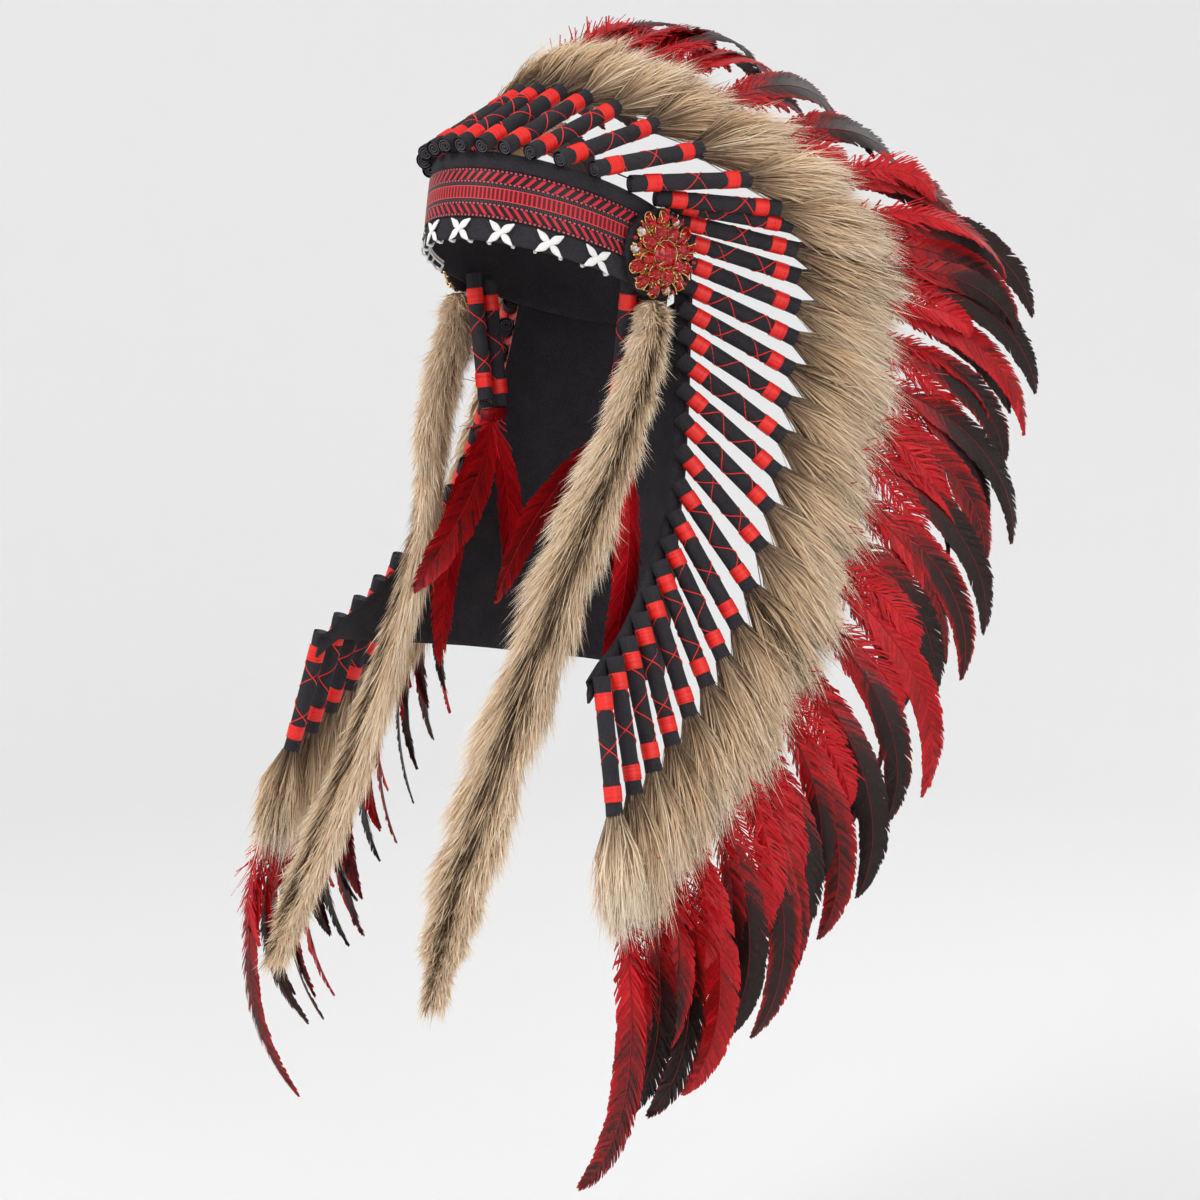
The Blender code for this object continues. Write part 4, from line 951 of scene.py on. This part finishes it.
def add_feather(piece, line, wide, width, dark, edge, fluff, pitch=0.0018):
    """A feather on a line of points: a tapered shaft and slanted barbs that close into a vane.

    dark: how bronze-black the middle is. edge: how red the barb tips stay. fluff: share that is loose down.
    """
    steps = len(line)
    lengths = np.concatenate(([0], np.cumsum(np.linalg.norm(np.diff(line, axis=0), axis=1))))
    total = lengths[-1]
    along = unit(np.gradient(line, axis=0))
    wide = unit(wide - along * (along * wide).sum(1, keepdims=True))
    flat = np.cross(wide, along)
    share = lengths / total
    shaft_tone = np.clip(0.15 + 0.35 * dark - 0.1 * share, 0, 1)
    add_tube(piece, line, between(0.00085, 0.0002, share), 5, hint=flat[0], tone=shaft_tone)
    count = max(int(total / pitch), 20)
    place = (np.arange(count) + 0.5) / count * 0.99
    for way in (-1, 1):
        at = np.clip(place + rng.normal(0, 0.25 / count, count), 0, 0.995)

        def sample(values):
            return np.stack([np.interp(at, share, values[:, k]) for k in range(3)], -1)

        root, ahead, out, up = sample(line), unit(sample(along)), unit(sample(wide)) * way, unit(sample(flat))
        profile = np.interp(at, *VANE_PROFILE)
        loose = np.clip((fluff - at) / max(fluff, 0.01), 0, 1)
        tear = np.cumsum(rng.random(count) < 0.03)
        clump = rng.normal(0, 0.04, tear[-1] + 1)[tear]
        slant = np.radians(between(52, 44, at)) + clump + rng.normal(0, 0.02 + 0.42 * loose, count)
        slant = np.clip(slant, 0.3 - 0.3 * loose, 1.05 + 0.15 * loose)
        lateral = 0.55 * np.cos(slant + 0.05) + 0.6 * np.cos(slant + 0.22)
        reach = width / 2 * profile * rng.uniform(0.92, 1.05, count) / lateral
        reach = np.minimum(reach, width * 1.15) * (1 + 0.25 * loose * rng.uniform(-1, 1, count))
        way_out = out * np.cos(slant + 0.05)[:, None] + ahead * np.sin(slant + 0.05)[:, None]
        way_tip = out * np.cos(slant + 0.22)[:, None] + ahead * np.sin(slant + 0.22)[:, None]
        droop = up * (rng.normal(0, 0.0004, count) - 0.0010)[:, None]
        lift = up * (loose * rng.normal(0, 0.006, count))[:, None]
        middle = root + way_out * (reach * 0.55)[:, None] + droop * 0.4 + lift * 0.5
        tip = middle + way_tip * (reach * 0.6)[:, None] + droop + lift
        thick = pitch * between(2.1, 0.7, loose)
        pairs = []
        for spot, size in ((root, 1.0), (middle, 1.1), (tip, 0.85)):
            half = ahead * (thick * size / 2)[:, None] + up * 0.00012
            pairs += [spot - half, spot + half]
        points = np.stack(pairs, axis=1)
        start = (np.arange(count) * 6)[:, None, None]
        quads = start + np.array(((0, 1, 3, 2), (2, 3, 5, 4)))[None]
        centre = np.clip(dark * np.interp(at, (0, fluff, fluff + 0.25, 1), (0.05, 0.3, 1.0, 1.05)), 0, 1)
        grain = rng.normal(0, 0.09, count)
        paler = np.repeat((1, between(1, 0.9, edge), 1 - edge), 2)
        tones = np.clip(centre[:, None] * paler + grain[:, None], 0, 1)
        piece.add(points, quads.reshape(-1, 4), tone=tones.ravel())


def twisted(line, wides, turn):
    """A vane's spread, turned about its own line more and more towards the tip."""
    along = unit(np.gradient(line, axis=0))
    angle = turn * np.linspace(0, 1, len(line))[:, None] ** 0.7
    return wides * np.cos(angle) + np.cross(along, wides) * np.sin(angle)


def vane_line(quill, side, share, number, stretch=1.0, curl=1.0, swing=0.0):
    """The line of one long feather from inside its tuft, and the direction its vane spreads in."""
    base, along, across, face = quill
    kind = VANE_KINDS[number % len(VANE_KINDS)]
    length = between(VANE_LENGTH_TOP, VANE_LENGTH_BOTTOM, share) * kind[0] - TUFT_LENGTH
    turned = min(1, share / VANE_TURNED_BY)
    pull = np.array((-VANE_INWARD * side * turned, 0, -1))
    bend = unit(pull - along * (pull @ along))
    turn = 1 if bend @ across > 0 else -1
    steps = 30
    run = length * stretch / steps
    spot = base + along * (QUILL_LENGTH + TUFT_LENGTH - VANE_IN_TUFT) + (across * math.sin(swing)) * 0.01
    aim = unit(along + across * math.sin(swing) * 0.5)
    lead_steps = max(int(VANE_IN_TUFT / run), 1)
    line, wides = [], []
    for step in range(-lead_steps, steps + 1):
        part = max(step, 0) / steps
        angle = VANE_CURL * kind[1] * curl * part**VANE_CURL_POWER
        ahead = aim * math.cos(angle) + bend * math.sin(angle)
        leaf = unit(across - ahead * (ahead @ across))
        sickle = (bend * math.cos(angle) - aim * math.sin(angle)) * turn
        wide = unit(between(leaf, sickle, turned))
        flat = np.cross(wide, ahead)
        flat = flat if flat @ face > 0 else -flat
        shingle = VANE_SHINGLE if number else 0
        line.append(spot)
        wides.append(wide * math.cos(shingle) + flat * math.sin(shingle))
        spot = spot + ahead * run
    return np.array(line), np.array(wides)


# dark and edge of each long feather, and of the shorter one beside it, in turn down the row
FEATHER_DYES = ((1.0, 0.3), (0.75, 0.8), (1.0, 0.1), (0.2, 0.8), (1.0, 0.6), (1.0, 0.05), (0.5, 0.6))


# least and most swing, stretch and curl of the shorter feathers and of the down
SHORTER_SPANS = ((-0.35, 0.35), (0.68, 0.86), (0.8, 1.15))
DOWN_SPANS = ((-0.5, 0.5), (0.42, 0.54), (0.5, 1.0))


def hanging(spans):
    swing, stretch, curl = (rng.uniform(low, high) for low, high in spans)
    return stretch, curl, swing


def add_plume_feathers(piece, quill, side, share, number):
    """The long feather of a quill, a shorter one beside it, and a small one of red down by the fur."""
    face = quill[3]
    dark, edge = FEATHER_DYES[number % len(FEATHER_DYES)]
    line, wide = vane_line(quill, side, share, number)
    wide = twisted(line, wide, rng.uniform(-0.45, 0.45))
    add_feather(piece, line, wide, VANE_WIDTH * 0.9, dark, edge, fluff=0.26)
    dark, edge = FEATHER_DYES[(number * 3 + 3) % len(FEATHER_DYES)]
    stretch, curl, swing = hanging(SHORTER_SPANS)
    line, wide = vane_line(quill, side, share, number + 2, stretch, curl, swing)
    wide = twisted(line, wide, rng.uniform(-1.1, 1.1))
    line = line + face * rng.uniform(-0.006, 0.002)
    add_feather(piece, line, wide, VANE_WIDTH * rng.uniform(0.62, 0.78), dark, edge, fluff=0.4)
    stretch, curl, swing = hanging(DOWN_SPANS)
    line, wide = vane_line(quill, side, share, number + 1, stretch, curl, swing)
    line = line + face * rng.uniform(-0.004, 0.006)
    add_feather(piece, line, wide, DOWN_WIDTH, 0.05, 0.9, fluff=0.8, pitch=0.0013)


def make_plumes(row_left):
    """Tufts and feathers of every quill, in thirds of each side."""
    count = len(row_left) - 1
    for label, side in (("left", 1), ("right", -1)):
        row = [to_side(quill, side) for quill in row_left]
        ends = 2 * row[-1] - row[-2]
        edges = [round(count * i / GROUPS_A_SIDE) for i in range(GROUPS_A_SIDE + 1)]
        for third, part in enumerate(("upper", "middle", "lower")):
            fur = Piece(f"fur_tufts_{label}_{part}")
            vanes = Piece(f"cock_feathers_{label}_{part}")
            first, last = edges[third * 3] + 1, edges[third * 3 + 3]
            numbers = list(range(first, last + 1))
            if side > 0 and third == 0:
                numbers.insert(0, 0)
            for number in numbers:
                quill = row[number]
                before = row[number - 1] if number else mirrored(row[1])
                after = row[number + 1] if number < count else ends
                add_tuft(fur, quill, before, after, side if number else 0, 2300)
                add_plume_feathers(vanes, quill, side if number else 0, number / count, number)
            nodes = [f"plumes_{label}_{third * 3 + i}" for i in (1, 2, 3)]
            if side > 0 and third == 0:
                nodes.append("plume_front")
            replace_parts(fur.make("plume", FUR), *nodes)
            vanes.make("plume", FEATHER)


def make_quills(row_left):
    """The rolled felt and the wound thread of every quill, a piece of each for a side."""
    count = len(row_left) - 1
    for label, side in (("left", 1), ("right", -1)):
        row = [to_side(quill, side) for quill in row_left]
        felt = Piece(f"rolled_quills_{label}")
        thread = Piece(f"quill_thread_{label}")
        for number, quill in enumerate(row):
            if number or side > 0:
                add_rod(felt, thread, quill[0], quill[1], quill[3])
        lace_quills(felt, row)
        nodes = [f"quills_{label}_{i}" for i in range(1, GROUPS_A_SIDE + 1)]
        if side > 0:
            nodes.append("quill_front")
        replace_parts(felt.make("felt", FELT), *nodes)
        thread.make("felt", THREAD)


# outward, ahead and down to each feather's tip, and its bow, as shares of the fall; width; how dark it is
DROP_FEATHERS = (
    (-0.04, -0.05, 0.68, 0.03, 0.030, 0.10),
    (-0.12, 0.62, 0.62, 0.08, 0.034, 0.35),
    (0.09, 0.23, 1.00, -0.07, 0.034, 0.12),
)


def make_drops(label, side):
    """Two wrapped quills under the temple and the red feathers that are bound to their ends."""
    inset = BAND_WALL + CLEARANCE + QUILL_DIAMETER / 2
    flats = math.cos(math.pi / 40)
    along = np.array((-math.sin(DROP_LEAN), 0, -math.cos(DROP_LEAN)))
    ends = []
    for number, y in enumerate(DROP_QUILLS_Y, 1):
        x = (BAND_HALF_WIDTH * flats - inset) * math.sqrt(1 - (y / (BAND_HALF_DEPTH * flats - inset)) ** 2)
        top = np.array((x, y, DROP_TUCK - y * math.tan(BAND_TILT)))
        ends.append(top + along * QUILL_LENGTH)
        felt = Piece(f"hanging_quill_{label}_{number}")
        start, down = to_side(top, side), to_side(along, side)
        add_rod(felt, drop_thread[label], start, down, np.array((0.0, -1.0, 0.0)))
        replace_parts(felt.make("felt", FELT), f"drop_quill_{label}_{number}")
    low = min(end[2] for end in ends) - QUILL_DIAMETER / 2 * math.sin(DROP_LEAN) - CLEARANCE
    middle = (ends[0] + ends[1]) / 2
    piece = Piece(f"red_feathers_{label}")
    binding = []
    turns = math.tau * np.arange(20) / 20
    flat = np.stack((np.cos(turns), np.sin(turns), 0 * turns), -1) * (*DROP_BINDING_HALF, 1)
    for share, lift in ((0.0, 0.0), (0.9, 0.0), (1.0, 0.2), (1.0, 0.8), (0.8, 1.0), (0.0, 1.0)):
        binding.append((middle[0], middle[1], low - DROP_BINDING_HEIGHT * lift) + flat * share)
    add_grid(piece, to_side(np.array(binding), side), closed=True, tone=0.35)
    foot = np.array((middle[0], middle[1], low - DROP_BINDING_HEIGHT / 2))
    for outward, ahead, down, bow, width, dark in DROP_FEATHERS:
        run = np.array((outward, -ahead, -down)) * DROP_VANE_FALL
        bow_way = unit(np.cross((0.0, 1.0, 0.0), run)) * bow * DROP_VANE_FALL
        wide = unit(np.cross(run, bow_way))
        share = np.linspace(0, 1, 28)[:, None]
        line = foot + run * share + bow_way * np.sin(math.pi * share)
        line, wide = to_side(line, side), np.broadcast_to(to_side(wide, side), line.shape)
        add_feather(piece, line, wide, width, dark, 0.5, fluff=0.12)
    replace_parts(piece.make("drop_feather", FEATHER), f"drop_feathers_{label}")


def make_trail():
    """The felt panel that hangs from the band's back and carries the lower quills on its edges."""
    piece = Piece("felt_trail")
    back_top = band_point(math.pi, TRAIL_LAP_ON_BAND, CLEARANCE * 2 + TRAIL_WALL / 2)
    drops = RIM_ROWS[:, 1]
    first = int(np.argmax(drops > TRAIL_STARTS_AT))
    start = first - (drops[first] - TRAIL_STARTS_AT) / (drops[first] - drops[first - 1])
    hem = TRAIL_HEM / np.linalg.norm(rim_at(RIM_LAST)[0] - rim_at(RIM_LAST - 1)[0])
    seat = QUILL_DIAMETER / 2 + CLEARANCE + TRAIL_WALL / 2
    levels, bends = 61, 26
    rows = []
    for level in np.linspace(0, 1, levels):
        point, along, _, face = rim_at(between(start, RIM_LAST + hem, level))
        point = point - face * seat
        inner = point - along * TRAIL_INSIDE_RIM
        half = [point + along * TRAIL_UNDER_QUILL, point + along * TRAIL_UNDER_QUILL * 0.4]
        for angle in np.linspace(math.pi / 2, 0, bends):
            back_y = between(back_top[1], TRAIL_BACK_END, level)
            back_z = between(back_top[2], -TRAIL_LENGTH, level)
            x = inner[0] * math.sin(angle)
            y = between(inner[1], back_y, math.cos(angle))
            z = between(inner[2], back_z, math.cos(angle))
            fold = 0.0016 * math.sin(angle * 9) * level * math.sin(2 * angle)
            half.append(np.array((x, y + fold, z)))
        half = np.array(half)
        rows.append(np.vstack((half, mirrored(half[-2::-1]))))
    rows = np.array(rows)
    sideways = np.gradient(rows, axis=1)
    downward = np.gradient(rows, axis=0)
    normal = unit(np.cross(sideways, downward)) * TRAIL_WALL * 0.45
    add_sheet(piece, rows + normal, rows - normal)
    trail = piece.make("felt", FELT)
    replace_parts(trail, "trail")
    area = float(np.linalg.norm(np.cross(sideways, downward), axis=-1).sum())
    return trail, area


# The studio


def area_light(name, place, aim, size, power):
    light = bpy.data.lights.new(name, "AREA")
    light.shape = "DISK"
    light.size = size
    light.energy = power
    lamp = bpy.data.objects.new(name, light)
    lamp.location = place
    lamp.rotation_euler = (Vector(aim) - Vector(place)).to_track_quat("-Z", "Y").to_euler()
    bpy.context.scene.collection.objects.link(lamp)


def make_studio():
    """A pale sweep of floor and wall, soft light from both sides, and the photograph's camera."""
    ahead = Vector((-0.606, 0.776, -0.174)).normalized()
    right = Vector((ahead.y, -ahead.x, 0)).normalized()
    up = right.cross(ahead)
    target = right * 0.0415 - up * 0.243
    camera = bpy.data.cameras.new("camera")
    camera.angle = 2 * math.atan(PHOTO_WIDTH / 2 / PHOTO_PIXELS_A_MM / 1000 / CAMERA_AWAY)
    camera.clip_end = 50
    eye = bpy.data.objects.new("camera", camera)
    turned = Matrix((right, up, -ahead)).transposed().to_4x4()
    eye.matrix_world = Matrix.Translation(target - ahead * CAMERA_AWAY) @ turned
    bpy.context.scene.collection.objects.link(eye)
    bpy.context.scene.camera = eye
    paper, shader = finish("pale_matt_paper")
    join(shader, {"Base Color": colour("f6f6f6"), "Roughness": 0.9})
    floor = Piece("floor")
    angles = math.tau * np.arange(48) / 48
    rings = [(0.0, FLOOR_LEVEL), (FLOOR_RADIUS, FLOOR_LEVEL)]
    for turn in np.linspace(0.15, math.pi / 2, 8):
        rise = FLOOR_BEND * (1 - math.cos(turn))
        rings.append((FLOOR_RADIUS + FLOOR_BEND * math.sin(turn), FLOOR_LEVEL + rise))
    rings.append((FLOOR_RADIUS + FLOOR_BEND, 4.0))
    sweep = [np.stack((r * np.cos(angles), r * np.sin(angles), np.full(48, z)), -1) for r, z in rings]
    add_grid(floor, np.array(sweep), closed=True)
    floor_mesh(floor, paper)
    world = bpy.data.worlds.new("studio")
    world.use_nodes = True
    join(world.node_tree.nodes["Background"], {"Color": colour("f8f8f8"), "Strength": 0.66})
    bpy.context.scene.world = world
    bpy.context.scene.view_settings.view_transform = "Standard"
    area_light("key", (-0.9, -1.9, 1.7), (0, 0, -0.15), 1.4, 34)
    area_light("fill", (2.2, -1.0, 0.9), (0, 0, -0.2), 1.8, 19)
    area_light("rim", (0.6, 2.2, 1.6), (0, 0, -0.1), 1.6, 17)


def floor_mesh(piece, material):
    """The sweep as an object of its own, which doesn't ride with the headdress."""
    mesh = bpy.data.meshes.new(piece.name)
    mesh.from_pydata(np.vstack(piece.points).tolist(), [], piece.faces[0][0].tolist())
    mesh.materials.append(material)
    mesh.polygons.foreach_set("use_smooth", [True] * len(mesh.polygons))
    sweep = bpy.data.objects.new(piece.name, mesh)
    bpy.context.scene.collection.objects.link(sweep)
    return sweep


make_studio()
make_band()
ribbon = make_ribbon()
make_lace()
row = quill_row()
make_quills(row)
drop_thread = {label: Piece(f"drop_thread_{label}") for label in ("left", "right")}
for label, side in (("left", 1), ("right", -1)):
    make_pad(label, side)
    make_brooch(label, side)
    make_strip(label, side)
    make_drops(label, side)
    drop_thread[label].make("felt", THREAD)
make_plumes(row)
trail, trail_area = make_trail()
